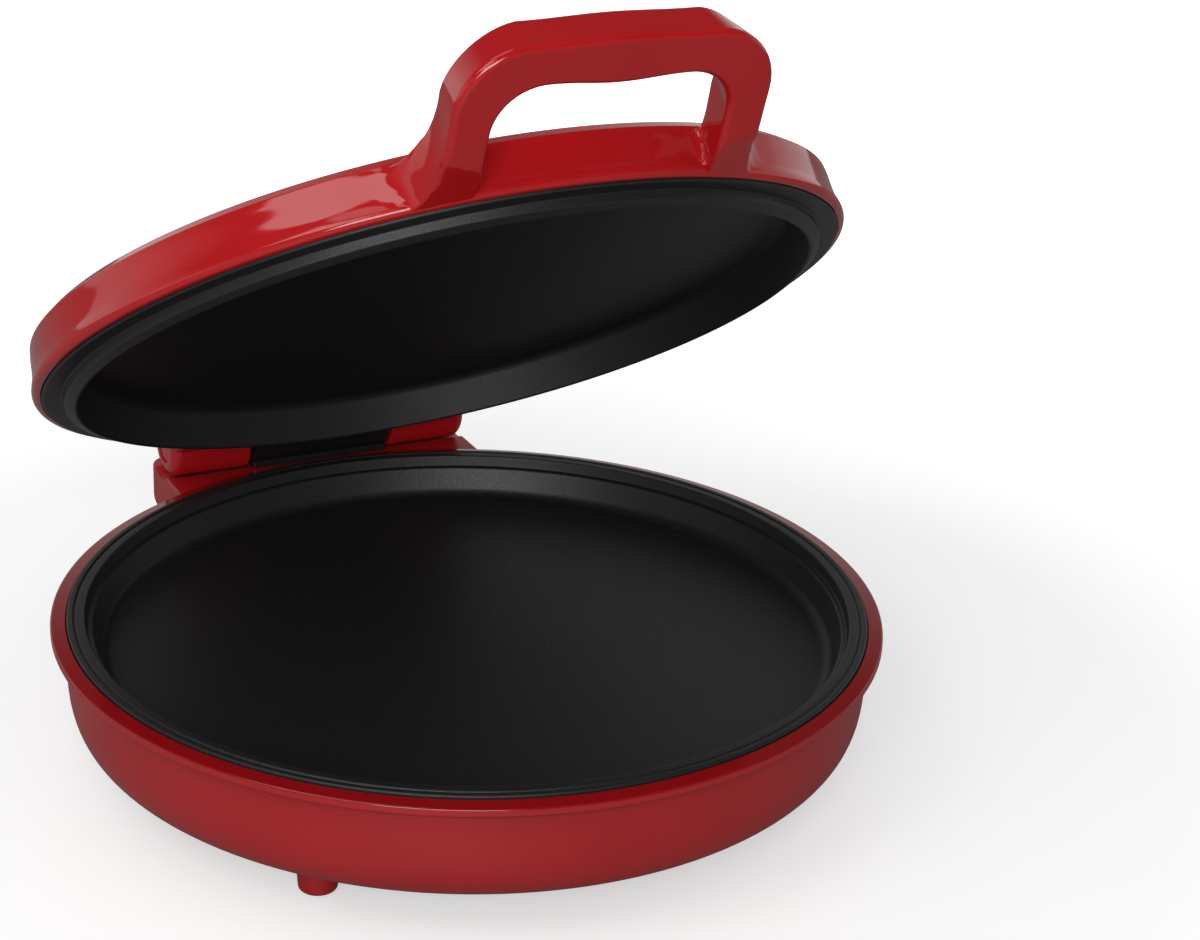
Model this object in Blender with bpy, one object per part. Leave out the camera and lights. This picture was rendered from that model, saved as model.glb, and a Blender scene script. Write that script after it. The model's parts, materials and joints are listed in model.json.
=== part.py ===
"""Electric countertop pizza maker: two round cast plates, a bowl-shaped base and a hinged lid.

Metres, +Z up. It stands on z = 0, and the middle of its outline is at x = y = 0.
Base pieces hang on the base_frame empty, whose axis is the bowl's own axis.
Lid pieces hang on the lid_frame empty, which lies on the hinge rod. They are modelled as
if the lid were shut, and the empty then turns them up to the open rest position.
"""

import bmesh
import bpy
import math
from mathutils import Matrix, Vector

# How finely round things are faceted
BIG_STEPS = 48
MID_STEPS = 16
SMALL_STEPS = 10
ROUND_STEPS = 3

# Fits
SEAT_GAP = 0.0003
SLIDE_GAP = 0.0008
OVERRUN = 0.0040

# Base bowl and its flange
RIM_HEIGHT = 0.0600
FLANGE_R = 0.1660
FLANGE_EDGE = 0.0026
FLANGE_ROOT = 0.0062
FLANGE_OVERHANG = 0.0057
FLANGE_LAND = 0.0014
FLANGE_ROUND = 0.0006
BOWL_DEPTH = 0.0473
BOWL_CORNER_W = 0.0503
BOWL_POWER = 4.5
BASE_WALL = 0.0026
PLATE_LEDGE = 0.0033
VENT_CIRCLE_R = 0.0550
VENT_LENGTH = 0.0220
VENT_WIDTH = 0.0036
VENT_COUNT = 8

# Feet and their rubber pads
FOOT_ANGLE = math.radians(48.5)
FOOT_INSET = 0.0283
FOOT_TOP_R = 0.0087
FOOT_TIP_R = 0.0073
FOOT_TIP_ROUND = 0.0016
PAD_R = 0.0044
PAD_THICK = 0.0026
PAD_PROUD = 0.0008

# Lower cooking plate
PLATE_R_INSET = 0.0063
RIM_RISE = 0.0022
RIM_WIDTH = 0.0072
RIDGE_WIDTH = 0.0030
RIDGE_GROOVE = 0.0008
PLATE_SHOULDER = 0.0045
DISH_DEPTH = 0.0115
DISH_SLOPE_W = 0.0065
PLATE_WALL = 0.0030

# Screw posts that carry the lower plate
POST_INSET = 0.0383
POST_ANGLES = (math.radians(30), math.radians(150), math.radians(210), math.radians(330))
POST_R = 0.0080
POST_NECK_R = 0.0060
BOSS_R = 0.0055
BOSS_DROP = 0.0057
SCREW_R = 0.0017
SCREW_HEAD_R = 0.0038
SCREW_HEAD_T = 0.0024
SCREW_BITE = 0.0040
COUNTERBORE = 0.0046
HOLE_MARGIN = 0.0004

# Heating elements and what keeps them against the plates
ELEMENT_INSET = 0.0340
ELEMENT_TUBE_R = 0.0030
ELEMENT_GAP_ANGLE = math.radians(9)
TERMINAL_DROP = 0.0135
CLIP_ANGLES = (math.radians(210), math.radians(330), math.radians(55))
CLIP_THICK = 0.0010
CLIP_FOOT = 0.0044
CLIP_LENGTH = 0.0080
SHIELD_THICK = 0.0008
SHIELD_INSET = 0.0263
SHIELD_LIP = 0.0040
SHIELD_DROP = 0.0128
THERMOSTAT_R = 0.0078
THERMOSTAT_H = 0.0060
THERMOSTAT_OFF_AXIS = 0.0450
FUSE_R = 0.0022
FUSE_LENGTH = 0.0160
FUSE_OFF_AXIS = 0.0520

# Mains side
BLOCK_SIZE = (0.0260, 0.0140, 0.0110)
BLOCK_BEHIND = 0.0180
LEAD_R = 0.0013
LEAD_PITCH = 0.0058
GLAND_R = 0.0058
GLAND_OUT = 0.0050
GLAND_NECK_R = 0.0040
GLAND_NUT_T = 0.0020
GLAND_BORE_R = 0.0030
GLAND_DROP = 0.0083

# Hinge
HINGE_BACK = 0.0113
HINGE_RISE = 0.0119
REST_OPEN = math.radians(36.2)
ROD_R = 0.0030
BUSH_WALL = 0.0017
BUSH_FLANGE_R = 0.0085
BUSH_FLANGE_T = 0.0010
ARM_R = 0.0140
ARM_INNER_X = 0.0336
ARM_WIDTH = 0.0364
ARM_ROUND = 0.0050
ARM_ROOT = 0.0280
ARM_CAP_R = 0.0070
ARM_CAP_T = 0.0022
KNUCKLE_R = 0.0132
BLOCK_FOOT_FRONT = 0.0109
BLOCK_FOOT_BACK = 0.0165
BLOCK_FOOT_T = 0.0030
BLOCK_SCREW_X = 0.0210
BLOCK_SCREW_SETBACK = 0.0028
BLOCK_SCREW_R = 0.0012
BLOCK_SCREW_HEAD_R = 0.0022
BLOCK_SCREW_HEAD_T = 0.0013
BLOCK_SCREW_LENGTH = 0.0070
CLIP_RING_T = 0.0012
HOUSING_HALF_W = 0.0715
HOUSING_BACK = 0.0300
HOUSING_TOP_DROP = 0.0005
HOUSING_SIDE_H = 0.0165
HOUSING_SLOPE_H = 0.0160
HOUSING_ROOT = 0.0140
HOUSING_CORNER = 0.0090
HOUSING_EDGE = 0.0012
HOUSING_WALL = 0.0030
POCKET_HALF_W = 0.0160
POCKET_H = 0.0094

# Lid cover
LID_GAP = 0.0041
LID_INSET = 0.0029
BAND_H = 0.0191
BAND_TAPER = 0.0027
LIP_TUCK = 0.0018
SHOULDER_W = 0.0041
SHOULDER_H = 0.0035
DOME_RISE = 0.0113
DOME_POWER = 2.8
LID_WALL = 0.0030
LID_SEAT_W = 0.0010
LID_SEAT_H = 0.0026
LUG_COUNT = 6
LUG_LENGTH = 0.0120
LUG_REACH = 0.0050
LUG_T = 0.0022

# Upper cooking plate
UPPER_CLEARANCE = 0.0005
ANNULUS_DROP = 0.0011
ANNULUS_W = 0.0080
ANNULUS_THICK = 0.0034
ANNULUS_ROUND = 0.0008
BEAD_DROP = 0.0057
BEAD_STEP = 0.0034
BEAD_W = 0.0045
CAVITY_DEPTH = 0.0110
CAVITY_SLOPE_W = 0.0065
UPPER_SHIELD_CLEAR = 0.0036
UPPER_SHIELD_RIM_W = 0.0050
UPPER_SHIELD_WALL_W = 0.0020
SHIELD_SCREW_HEAD_T = 0.0018
SHIELD_SCREW_LENGTH = 0.0080

# Lid lamps
LAMP_CIRCLE_R = 0.1180
LAMP_HALF_PITCH = 0.0110
LENS_R = 0.0056
LENS_PROUD = 0.0012
LENS_SEAT = 0.0010
LENS_STEM_R = 0.0040
LENS_STEM = 0.0050
LENS_WALL = 0.0012
LAMP_R = 0.0021

# Handle
HANDLE_TILT = math.radians(56)
HANDLE_FOOT_UP = 0.0010
HANDLE_HALF_W = 0.0605
HANDLE_HEIGHT = 0.0562
LEG_W = 0.0160
GRIP_T = 0.0166
GRIP_DEPTH = 0.0195
GRIP_EDGE = 0.0028
GRIP_DRAFT = 0.0016
LEG_DRAFT = 0.0028
CORNER_DRAFT = 0.0042
GRIP_ARCH = 0.0014
PALM_SWELL = 0.0016
CORNER_OUT_R = 0.0250
CORNER_IN_R = 0.0190
FLARE_R = 0.0140
FLARE_SINK = 0.0030
FOOT_CONE_RISE = 0.35
HANDLE_ROOT = 0.0120
BACK_MARGIN = 0.0018
BACK_THICK = 0.0024
BACK_START = 0.0130
HANDLE_SCREW_SHARE = 0.35
HANDLE_SCREW_R = 0.0013
HANDLE_SCREW_HEAD_R = 0.0020
HANDLE_SCREW_HEAD_T = 0.0010
HANDLE_SCREW_LENGTH = 0.0110

# Heights and radii that follow from the sizes above
FLOOR_Z = RIM_HEIGHT - BOWL_DEPTH
WALL_R = FLANGE_R - FLANGE_OVERHANG
BOWL_FLAT_R = WALL_R - BOWL_CORNER_W
LEDGE_Z = RIM_HEIGHT - PLATE_LEDGE
PLATE_R = FLANGE_R - PLATE_R_INSET
RIM_TOP_Z = RIM_HEIGHT + RIM_RISE
PLATE_UNDER_Z = LEDGE_Z + SEAT_GAP
DISH_TOP_Z = RIM_TOP_Z - PLATE_SHOULDER - DISH_DEPTH
DISH_UNDER_Z = DISH_TOP_Z - PLATE_WALL
DISH_R = PLATE_R - RIM_WIDTH - DISH_SLOPE_W
POST_CIRCLE_R = WALL_R - POST_INSET
ELEMENT_CIRCLE_R = POST_CIRCLE_R - ELEMENT_INSET
SHIELD_Z = DISH_UNDER_Z - SHIELD_DROP
BOSS_Z = DISH_UNDER_Z - BOSS_DROP
HINGE_Y = FLANGE_R + HINGE_BACK
HINGE_Z = RIM_HEIGHT + HINGE_RISE
HOUSING_TOP_Z = RIM_HEIGHT - HOUSING_TOP_DROP
HOUSING_BACK_Y = FLANGE_R + HOUSING_BACK
REAR_REACH = HOUSING_BACK_Y + GLAND_OUT
BASE_AXIS_Y = (FLANGE_R - REAR_REACH) / 2
ARM_OUTER_X = ARM_INNER_X + ARM_WIDTH
BLOCK_HALF_W = ARM_INNER_X - BUSH_FLANGE_T - 2 * SEAT_GAP
BUSH_BORE_R = ROD_R + SEAT_GAP
BUSH_R = BUSH_BORE_R + BUSH_WALL
ARM_BORE_R = BUSH_R + SEAT_GAP
CAP_FLOOR_X = ARM_OUTER_X - ARM_CAP_T - SEAT_GAP
LID_Z = RIM_HEIGHT + LID_GAP
LID_R = FLANGE_R - LID_INSET
BAND_TOP_Z = LID_Z + BAND_H
BAND_TOP_R = LID_R - BAND_TAPER
DOME_R = BAND_TOP_R - SHOULDER_W
DOME_EDGE_Z = BAND_TOP_Z + SHOULDER_H
CAVITY_R = LID_R - LIP_TUCK - LID_SEAT_W - LID_SEAT_W
CAVITY_TOP_R = BAND_TOP_R - LID_WALL
ANNULUS_Z = LID_Z - ANNULUS_DROP
UPPER_R = CAVITY_R + LID_SEAT_W - UPPER_CLEARANCE
BEAD_Z = ANNULUS_Z - BEAD_DROP
BEAD_R = UPPER_R - ANNULUS_W
CAVITY_FLOOR_Z = ANNULUS_Z + CAVITY_DEPTH
UPPER_BACK_Z = CAVITY_FLOOR_Z + PLATE_WALL
UPPER_FLOOR_R = BEAD_R - BEAD_W - CAVITY_SLOPE_W
HANDLE_MID_X = HANDLE_HALF_W - LEG_W / 2
LEG_INNER_X = HANDLE_HALF_W - LEG_W
GRIP_INNER_H = HANDLE_HEIGHT - GRIP_T
HANDLE_SCREW_UP = HANDLE_HEIGHT * HANDLE_SCREW_SHARE


# Scene, materials and frames
def clear_scene():
    for obj in list(bpy.data.objects):
        bpy.data.objects.remove(obj, do_unlink=True)


def linear(value):
    return value / 12.92 if value <= 0.04045 else ((value + 0.055) / 1.055) ** 2.4


def make_material(name, hex_colour, roughness, metallic=0.0, transmission=0.0):
    material = bpy.data.materials.new(name)
    material.use_nodes = True
    shader = material.node_tree.nodes["Principled BSDF"]
    channels = [int(hex_colour[i : i + 2], 16) / 255 for i in (0, 2, 4)]
    shader.inputs["Base Color"].default_value = (*[linear(c) for c in channels], 1.0)
    shader.inputs["Roughness"].default_value = roughness
    shader.inputs["Metallic"].default_value = metallic
    shader.inputs["Transmission Weight"].default_value = transmission
    return material


def make_frame(name, location, tilt=0.0):
    frame = bpy.data.objects.new(name, None)
    frame.location = location
    frame.rotation_euler = (tilt, 0, 0)
    frame.empty_display_size = OVERRUN
    bpy.context.collection.objects.link(frame)
    return frame


def hang_on(obj, body):
    """Parents obj to a body. Its own coordinates stay those of the base axis, lid shut."""
    frame, inverse = body
    obj.parent = frame
    obj.matrix_parent_inverse = inverse
    return obj


def add_object(name, data, body, material, location=(0, 0, 0), rotation=(0, 0, 0)):
    obj = bpy.data.objects.new(name, data)
    bpy.context.collection.objects.link(obj)
    obj.location = location
    obj.rotation_euler = rotation
    if material is not None:
        obj.data.materials.append(material)
    return hang_on(obj, body)


def mesh_from(bm, name):
    bmesh.ops.recalc_face_normals(bm, faces=bm.faces)
    mesh = bpy.data.meshes.new(name)
    bm.to_mesh(mesh)
    bm.free()
    mesh.shade_smooth()
    mesh.set_sharp_from_angle(angle=math.radians(35))
    return mesh


def as_cutter(obj):
    obj.hide_render = True
    obj.display_type = "WIRE"
    return obj


def combine(target, operation, *tools):
    """Adds one Boolean for each tool, which then only shows as a wire."""
    for tool in tools:
        modifier = target.modifiers.new(tool.name, "BOOLEAN")
        modifier.operation = operation
        modifier.object = as_cutter(tool)
    return target


# Shapes
def turned_mesh(name, profile, steps):
    """A profile of (radius, height) points turned round Z. It closes on itself or on the axis."""
    bm = bmesh.new()
    points = [bm.verts.new((radius, 0, height)) for radius, height in profile]
    pairs = list(zip(points, points[1:]))
    if profile[0][0] > 0:
        pairs.append((points[-1], points[0]))
    edges = [bm.edges.new(pair) for pair in pairs]
    bmesh.ops.spin(
        bm,
        geom=points + edges,
        cent=(0, 0, 0),
        axis=(0, 0, 1),
        angle=2 * math.pi,
        steps=steps,
        use_merge=True,
    )
    bmesh.ops.remove_doubles(bm, verts=bm.verts, dist=OVERRUN / 4000)
    return mesh_from(bm, name)


def loft_mesh(name, sections):
    """Skin through sections with equal numbers of 3-D points, closed at both ends."""
    bm = bmesh.new()
    rings = [[bm.verts.new(point) for point in section] for section in sections]
    for ring, following in zip(rings, rings[1:]):
        for i, point in enumerate(ring):
            after = (i + 1) % len(ring)
            bm.faces.new((point, ring[after], following[after], following[i]))
    bm.faces.new(rings[0])
    bm.faces.new(rings[-1])
    return mesh_from(bm, name)


def box_mesh(name, low, high):
    corners = [(low[0], low[1]), (high[0], low[1]), (high[0], high[1]), (low[0], high[1])]
    return loft_mesh(name, [[(x, y, z) for x, y in corners] for z in (low[2], high[2])])


def rod_mesh(name, radius, low, high, steps=MID_STEPS):
    return turned_mesh(name, [(0, high), (radius, high), (radius, low), (0, low)], steps)


def tube_mesh(name, inner, outer, low, high, steps=MID_STEPS):
    return turned_mesh(name, [(inner, high), (outer, high), (outer, low), (inner, low)], steps)


def rounded_loop(corners, radii, steps=ROUND_STEPS):
    """The corners of a loop, each rounded by its own radius."""
    loop = []
    for i, corner in enumerate(corners):
        here = Vector(corner)
        before = Vector(corners[i - 1]) - here
        after = Vector(corners[(i + 1) % len(corners)]) - here
        start = here + before.normalized() * min(radii[i], before.length / 2)
        end = here + after.normalized() * min(radii[i], after.length / 2)
        for k in range(steps):
            t = k / (steps - 1)
            loop.append(start * (1 - t) ** 2 + here * 2 * t * (1 - t) + end * t**2)
    return loop


def smooth_route(points, per_span=4):
    """Points along a Catmull-Rom curve through the route's own points."""
    points = [Vector(point) for point in points]
    ends = [points[0] * 2 - points[1], *points, points[-1] * 2 - points[-2]]
    route = []
    for a, b, c, d in zip(ends, ends[1:], ends[2:], ends[3:]):
        for k in range(per_span):
            t = k / per_span
            route.append(
                (b * 2 + (c - a) * t + (a * 2 - b * 5 + c * 4 - d) * t**2 + (b * 3 - a - c * 3 + d) * t**3)
                / 2
            )
    return [*route, points[-1]]


def tube_along(name, route, radius, body, material, bevel_steps=1):
    curve = bpy.data.curves.new(name, "CURVE")
    curve.dimensions = "3D"
    curve.bevel_depth = radius
    curve.bevel_resolution = bevel_steps
    curve.use_fill_caps = True
    spline = curve.splines.new("POLY")
    spline.points.add(len(route) - 1)
    for point, place in zip(spline.points, route):
        point.co = (*place, 1)
    return add_object(name, curve, body, material)


def polar(radius, angle, height=0.0):
    return (radius * math.cos(angle), radius * math.sin(angle), height)


def sided(name, side):
    return f"{name}_{'left' if side < 0 else 'right'}"


def along_x(side):
    """Turns an object whose length is Z so that it runs outward along X on this side."""
    return (0, side * math.pi / 2, 0)


# Base bowl
def bowl_point(share, flat_r, wall_r, top_z, bottom_z):
    """A point of the bowl's side, from its floor at share 0 to its top at share 1."""
    angle = (1 - share) * math.pi / 2
    across = math.cos(angle) ** (2 / BOWL_POWER) if share > 0 else 0.0
    down = math.sin(angle) ** (2 / BOWL_POWER) if share < 1 else 0.0
    return (flat_r + (wall_r - flat_r) * across, top_z - (top_z - bottom_z) * down)


def bowl_side(flat_r, wall_r, top_z, bottom_z):
    shares = (0, 0.08, 0.34, 0.58, 0.78, 0.93, 1)
    return [bowl_point(share, flat_r, wall_r, top_z, bottom_z) for share in shares]


def outer_bowl_mesh():
    root_z = RIM_HEIGHT - FLANGE_ROOT
    side = bowl_side(BOWL_FLAT_R, WALL_R, root_z, FLOOR_Z)
    flange = [
        (FLANGE_R - FLANGE_ROUND, RIM_HEIGHT - FLANGE_EDGE - FLANGE_ROUND),
        (FLANGE_R, RIM_HEIGHT - FLANGE_EDGE),
        (FLANGE_R, RIM_HEIGHT - FLANGE_ROUND),
        (FLANGE_R - FLANGE_ROUND, RIM_HEIGHT),
    ]
    profile = [(0, FLOOR_Z), *side, *flange, (0, RIM_HEIGHT)]
    return turned_mesh("base_shell", profile[::-1], BIG_STEPS)


def bowl_cavity(body):
    """Room inside the bowl, with the ledge for the plate and the flange's inner slope."""
    inner_r = WALL_R - BASE_WALL
    side = bowl_side(BOWL_FLAT_R, inner_r, LEDGE_Z, FLOOR_Z + BASE_WALL)
    profile = [
        (0, FLOOR_Z + BASE_WALL),
        *side,
        (PLATE_R + 2 * SEAT_GAP, LEDGE_Z),
        (FLANGE_R - FLANGE_LAND, RIM_HEIGHT),
        (FLANGE_R - FLANGE_LAND, RIM_HEIGHT + OVERRUN),
        (0, RIM_HEIGHT + OVERRUN),
    ]
    return add_object("bowl_cavity", turned_mesh("bowl_cavity", profile[::-1], BIG_STEPS), body, None)


def housing_section(height, back_y, inset):
    half = HOUSING_HALF_W - inset
    front = HINGE_Y - ARM_ROOT - HOUSING_BACK
    corners = [(-half, front, height), (half, front, height), (half, back_y, height), (-half, back_y, height)]
    corner = max(HOUSING_CORNER - inset, HOUSING_EDGE)
    return rounded_loop(corners, (0.0, 0.0, corner, corner))


def hinge_housing(body):
    """The block behind the bowl that carries the hinge. Its back slopes in under the wall."""
    side_z = HOUSING_TOP_Z - HOUSING_SIDE_H
    sections = [
        housing_section(side_z - HOUSING_SLOPE_H, FLANGE_R - HOUSING_ROOT, HOUSING_EDGE),
        housing_section(side_z, HOUSING_BACK_Y, 0.0),
        housing_section(HOUSING_TOP_Z - HOUSING_EDGE, HOUSING_BACK_Y, 0.0),
        housing_section(HOUSING_TOP_Z, HOUSING_BACK_Y - HOUSING_EDGE, HOUSING_EDGE),
    ]
    sections = [[Vector(p) for p in section] for section in sections]
    return add_object("hinge_housing", drop_doubles(loft_mesh("hinge_housing", sections)), body, None)


def drop_doubles(mesh):
    """Joins the points that an unrounded corner leaves in one place."""
    bm = bmesh.new()
    bm.from_mesh(mesh)
    bmesh.ops.remove_doubles(bm, verts=bm.verts, dist=OVERRUN / 4000)
    bmesh.ops.dissolve_degenerate(bm, edges=bm.edges, dist=OVERRUN / 4000)
    bmesh.ops.recalc_face_normals(bm, faces=bm.faces)
    bm.to_mesh(mesh)
    bm.free()
    return mesh


def housing_pocket(body):
    """Hollow of the housing, open to the bowl, where the mains leads come in."""
    top = HOUSING_TOP_Z - HOUSING_WALL * 1.2
    low = (-POCKET_HALF_W, WALL_R - HOUSING_BACK, top - POCKET_H)
    high = (POCKET_HALF_W, HOUSING_BACK_Y - HOUSING_WALL, top)
    return add_object("housing_pocket", box_mesh("housing_pocket", low, high), body, None)


def arm_groove(body, side):
    """The concave seat in the housing's top in which one lid arm turns."""
    length = HOUSING_HALF_W + OVERRUN - BLOCK_HALF_W
    mesh = rod_mesh("arm_groove", ARM_R + SLIDE_GAP, 0, length)
    place = (side * BLOCK_HALF_W, HINGE_Y, HINGE_Z)
    return add_object(sided("arm_groove", side), mesh, body, None, place, along_x(side))


def foot_place(across, along):
    radius = WALL_R - FOOT_INSET
    return (across * radius * math.sin(FOOT_ANGLE), along * radius * math.cos(FOOT_ANGLE), 0)


FOOT_CORNERS = (
    ("front_left", foot_place(-1, -1)),
    ("front_right", foot_place(1, -1)),
    ("back_left", foot_place(-1, 1)),
    ("back_right", foot_place(1, 1)),
)


def foot_peg(body, name, place):
    """A tapered foot moulded on the bowl, with a rounded tip."""
    top_z = FLOOR_Z + BASE_WALL * 2
    profile = [
        (0, top_z),
        (FOOT_TOP_R, top_z),
        (FOOT_TIP_R, PAD_PROUD + FOOT_TIP_ROUND),
        (FOOT_TIP_R - FOOT_TIP_ROUND / 3, PAD_PROUD + FOOT_TIP_ROUND / 3),
        (FOOT_TIP_R - FOOT_TIP_ROUND, PAD_PROUD),
        (0, PAD_PROUD),
    ]
    mesh = turned_mesh(f"foot_{name}", profile, MID_STEPS)
    return add_object(f"foot_{name}", mesh, body, None, place)


def pad_recess(body, name, place):
    mesh = rod_mesh("pad_recess", PAD_R + SEAT_GAP, -OVERRUN, PAD_THICK + SEAT_GAP, SMALL_STEPS)
    return add_object(f"pad_recess_{name}", mesh, body, None, place)


def foot_pad(body, name, place, rubber):
    mesh = rod_mesh(f"foot_pad_{name}", PAD_R, 0, PAD_THICK, SMALL_STEPS)
    return add_object(f"foot_pad_{name}", mesh, body, rubber, place)


def screw_post(body, index, place):
    """A hollow post that stands on the bowl's floor. Its shoulder carries the heat shield."""
    shoulder = SHIELD_Z - SHIELD_THICK - SEAT_GAP
    top = BOSS_Z - SEAT_GAP
    root = FLOOR_Z + BASE_WALL / 2
    profile = [(0, top), (POST_NECK_R, top), (POST_NECK_R, shoulder), (POST_R, shoulder), (POST_R, root), (0, root)]
    mesh = turned_mesh("screw_post", profile, SMALL_STEPS)
    return add_object(f"screw_post_{index}", mesh, body, None, place)


def post_hole(body, index, place):
    """The screw's way up through the post, with a counterbore for its head."""
    seat = FLOOR_Z + COUNTERBORE
    head = SCREW_HEAD_R + HOLE_MARGIN
    shank = SCREW_R + HOLE_MARGIN
    top = BOSS_Z + OVERRUN
    profile = [(0, top), (shank, top), (shank, seat), (head, seat), (head, 0), (0, 0)]
    return add_object(f"post_hole_{index}", turned_mesh("post_hole", profile, SMALL_STEPS), body, None, place)


def floor_vent(body, index):
    angle = 2 * math.pi * index / VENT_COUNT
    low = (VENT_CIRCLE_R - VENT_LENGTH / 2, -VENT_WIDTH / 2, FLOOR_Z - OVERRUN)
    high = (VENT_CIRCLE_R + VENT_LENGTH / 2, VENT_WIDTH / 2, FLOOR_Z + BASE_WALL + OVERRUN)
    return add_object(f"floor_vent_{index}", box_mesh("floor_vent", low, high), body, None, (0, 0, 0), (0, 0, angle))


def gland_z():
    return HOUSING_TOP_Z - GLAND_DROP


def gland_hole(body):
    mesh = rod_mesh("gland_hole", GLAND_NECK_R + SEAT_GAP, -OVERRUN, HOUSING_WALL + OVERRUN)
    place = (0, HOUSING_BACK_Y, gland_z())
    return add_object("gland_hole", mesh, body, None, place, (math.pi / 2, 0, 0))


def block_screw_hole(body, side):
    place = (side * BLOCK_SCREW_X, block_screw_y(), block_screw_seat() - BLOCK_SCREW_LENGTH)
    height = BLOCK_SCREW_LENGTH + OVERRUN
    mesh = rod_mesh("block_screw_hole", BLOCK_SCREW_R + HOLE_MARGIN, -SEAT_GAP, height, SMALL_STEPS)
    return add_object(sided("block_screw_hole", side), mesh, body, None, place)


def base_shell(body, red):
    shell = add_object("base_shell", outer_bowl_mesh(), body, red)
    posts = [polar(POST_CIRCLE_R, angle) for angle in POST_ANGLES]
    combine(shell, "UNION", hinge_housing(body), *[foot_peg(body, *corner) for corner in FOOT_CORNERS])
    combine(shell, "DIFFERENCE", bowl_cavity(body), housing_pocket(body))
    combine(shell, "UNION", *[screw_post(body, i + 1, place) for i, place in enumerate(posts)])
    combine(shell, "DIFFERENCE", *[post_hole(body, i + 1, place) for i, place in enumerate(posts)])
    combine(shell, "DIFFERENCE", *[pad_recess(body, *corner) for corner in FOOT_CORNERS])
    combine(shell, "DIFFERENCE", *[arm_groove(body, side) for side in (-1, 1)])
    combine(shell, "DIFFERENCE", *[block_screw_hole(body, side) for side in (-1, 1)])
    combine(shell, "DIFFERENCE", gland_hole(body))
    combine(shell, "DIFFERENCE", *[floor_vent(body, i + 1) for i in range(VENT_COUNT)])
    return shell


# Lower cooking plate
def lower_plate(body, cast_black):
    """Cast pan whose rim has two low ridges and sits on the bowl's ledge."""
    shoulder_z = RIM_TOP_Z - PLATE_SHOULDER
    rim_in = PLATE_R - RIM_WIDTH
    ridge_in = PLATE_R - RIDGE_WIDTH
    back_r = PLATE_R - RIM_WIDTH + PLATE_WALL / 3
    top_side = [
        (0, DISH_TOP_Z),
        (DISH_R - DISH_SLOPE_W / 2, DISH_TOP_Z),
        (DISH_R, DISH_TOP_Z + DISH_SLOPE_W / 6),
        (rim_in - PLATE_WALL, shoulder_z),
        (rim_in - RIDGE_GROOVE, shoulder_z),
        (rim_in, RIM_TOP_Z - RIDGE_GROOVE),
        (rim_in + RIDGE_GROOVE, RIM_TOP_Z),
        (ridge_in - RIDGE_GROOVE, RIM_TOP_Z),
        (ridge_in, RIM_TOP_Z - RIDGE_GROOVE),
        (ridge_in + RIDGE_GROOVE, RIM_TOP_Z),
        (PLATE_R - RIDGE_GROOVE, RIM_TOP_Z),
        (PLATE_R, RIM_TOP_Z - RIDGE_GROOVE),
    ]
    under_side = [
        (PLATE_R, PLATE_UNDER_Z),
        (WALL_R - BASE_WALL - SLIDE_GAP, PLATE_UNDER_Z),
        (back_r - PLATE_WALL / 2, shoulder_z - PLATE_WALL * 1.2),
        (DISH_R + PLATE_WALL * 0.9, DISH_TOP_Z),
        (DISH_R - DISH_SLOPE_W / 3, DISH_UNDER_Z),
        (0, DISH_UNDER_Z),
    ]
    plate = add_object("lower_plate", turned_mesh("lower_plate", [*top_side, *under_side], BIG_STEPS), body, cast_black)
    places = [polar(POST_CIRCLE_R, angle) for angle in POST_ANGLES]
    root = DISH_UNDER_Z + PLATE_WALL / 2
    bosses = [
        add_object(f"boss_{i}", rod_mesh("boss", BOSS_R, BOSS_Z, root, SMALL_STEPS), body, None, place)
        for i, place in enumerate(places, 1)
    ]
    hole = (SCREW_R + HOLE_MARGIN, BOSS_Z - OVERRUN, BOSS_Z + SCREW_BITE + SEAT_GAP)
    holes = [
        add_object(f"boss_hole_{i}", rod_mesh("boss_hole", *hole, SMALL_STEPS), body, None, place)
        for i, place in enumerate(places, 1)
    ]
    combine(plate, "UNION", *bosses)
    return combine(plate, "DIFFERENCE", *holes)


def plate_screws(body, steel):
    head_top = FLOOR_Z + COUNTERBORE - SEAT_GAP
    tip = BOSS_Z + SCREW_BITE
    profile = [
        (0, tip),
        (SCREW_R, tip),
        (SCREW_R, head_top),
        (SCREW_HEAD_R, head_top),
        (SCREW_HEAD_R, head_top - SCREW_HEAD_T),
        (0, head_top - SCREW_HEAD_T),
    ]
    for i, angle in enumerate(POST_ANGLES, 1):
        mesh = turned_mesh(f"plate_screw_{i}", profile, SMALL_STEPS)
        add_object(f"plate_screw_{i}", mesh, body, steel, polar(POST_CIRCLE_R, angle))


# Heating elements
def element_route(height, way):
    """A ring open towards the back. Its ends turn down (way -1) or inward (way 0)."""
    start = math.pi / 2 + ELEMENT_GAP_ANGLE
    sweep = 2 * math.pi - 2 * ELEMENT_GAP_ANGLE
    turns = 30
    bend = 4 * ELEMENT_TUBE_R / ELEMENT_CIRCLE_R
    ring = [
        polar(ELEMENT_CIRCLE_R, start + bend + (sweep - 2 * bend) * i / turns, height) for i in range(turns + 1)
    ]
    if way == 0:
        inner = ELEMENT_CIRCLE_R - 6 * ELEMENT_TUBE_R
        near = ELEMENT_CIRCLE_R - 2.4 * ELEMENT_TUBE_R
        first = [polar(inner, start, height), polar(near, start, height)]
        last = [polar(near, start + sweep, height), polar(inner, start + sweep, height)]
    else:
        first = [
            polar(ELEMENT_CIRCLE_R, start, height - TERMINAL_DROP),
            polar(ELEMENT_CIRCLE_R, start, height - 2.4 * ELEMENT_TUBE_R),
        ]
        last = [
            polar(ELEMENT_CIRCLE_R, start + sweep, height - 2.4 * ELEMENT_TUBE_R),
            polar(ELEMENT_CIRCLE_R, start + sweep, height - TERMINAL_DROP),
        ]
    head = smooth_route([*first, ring[0], ring[1]], 3)[:-3]
    tail = smooth_route([ring[-2], ring[-1], *last], 3)[3:]
    return [*head, *[Vector(p) for p in ring[1:-1]], *tail]


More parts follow.
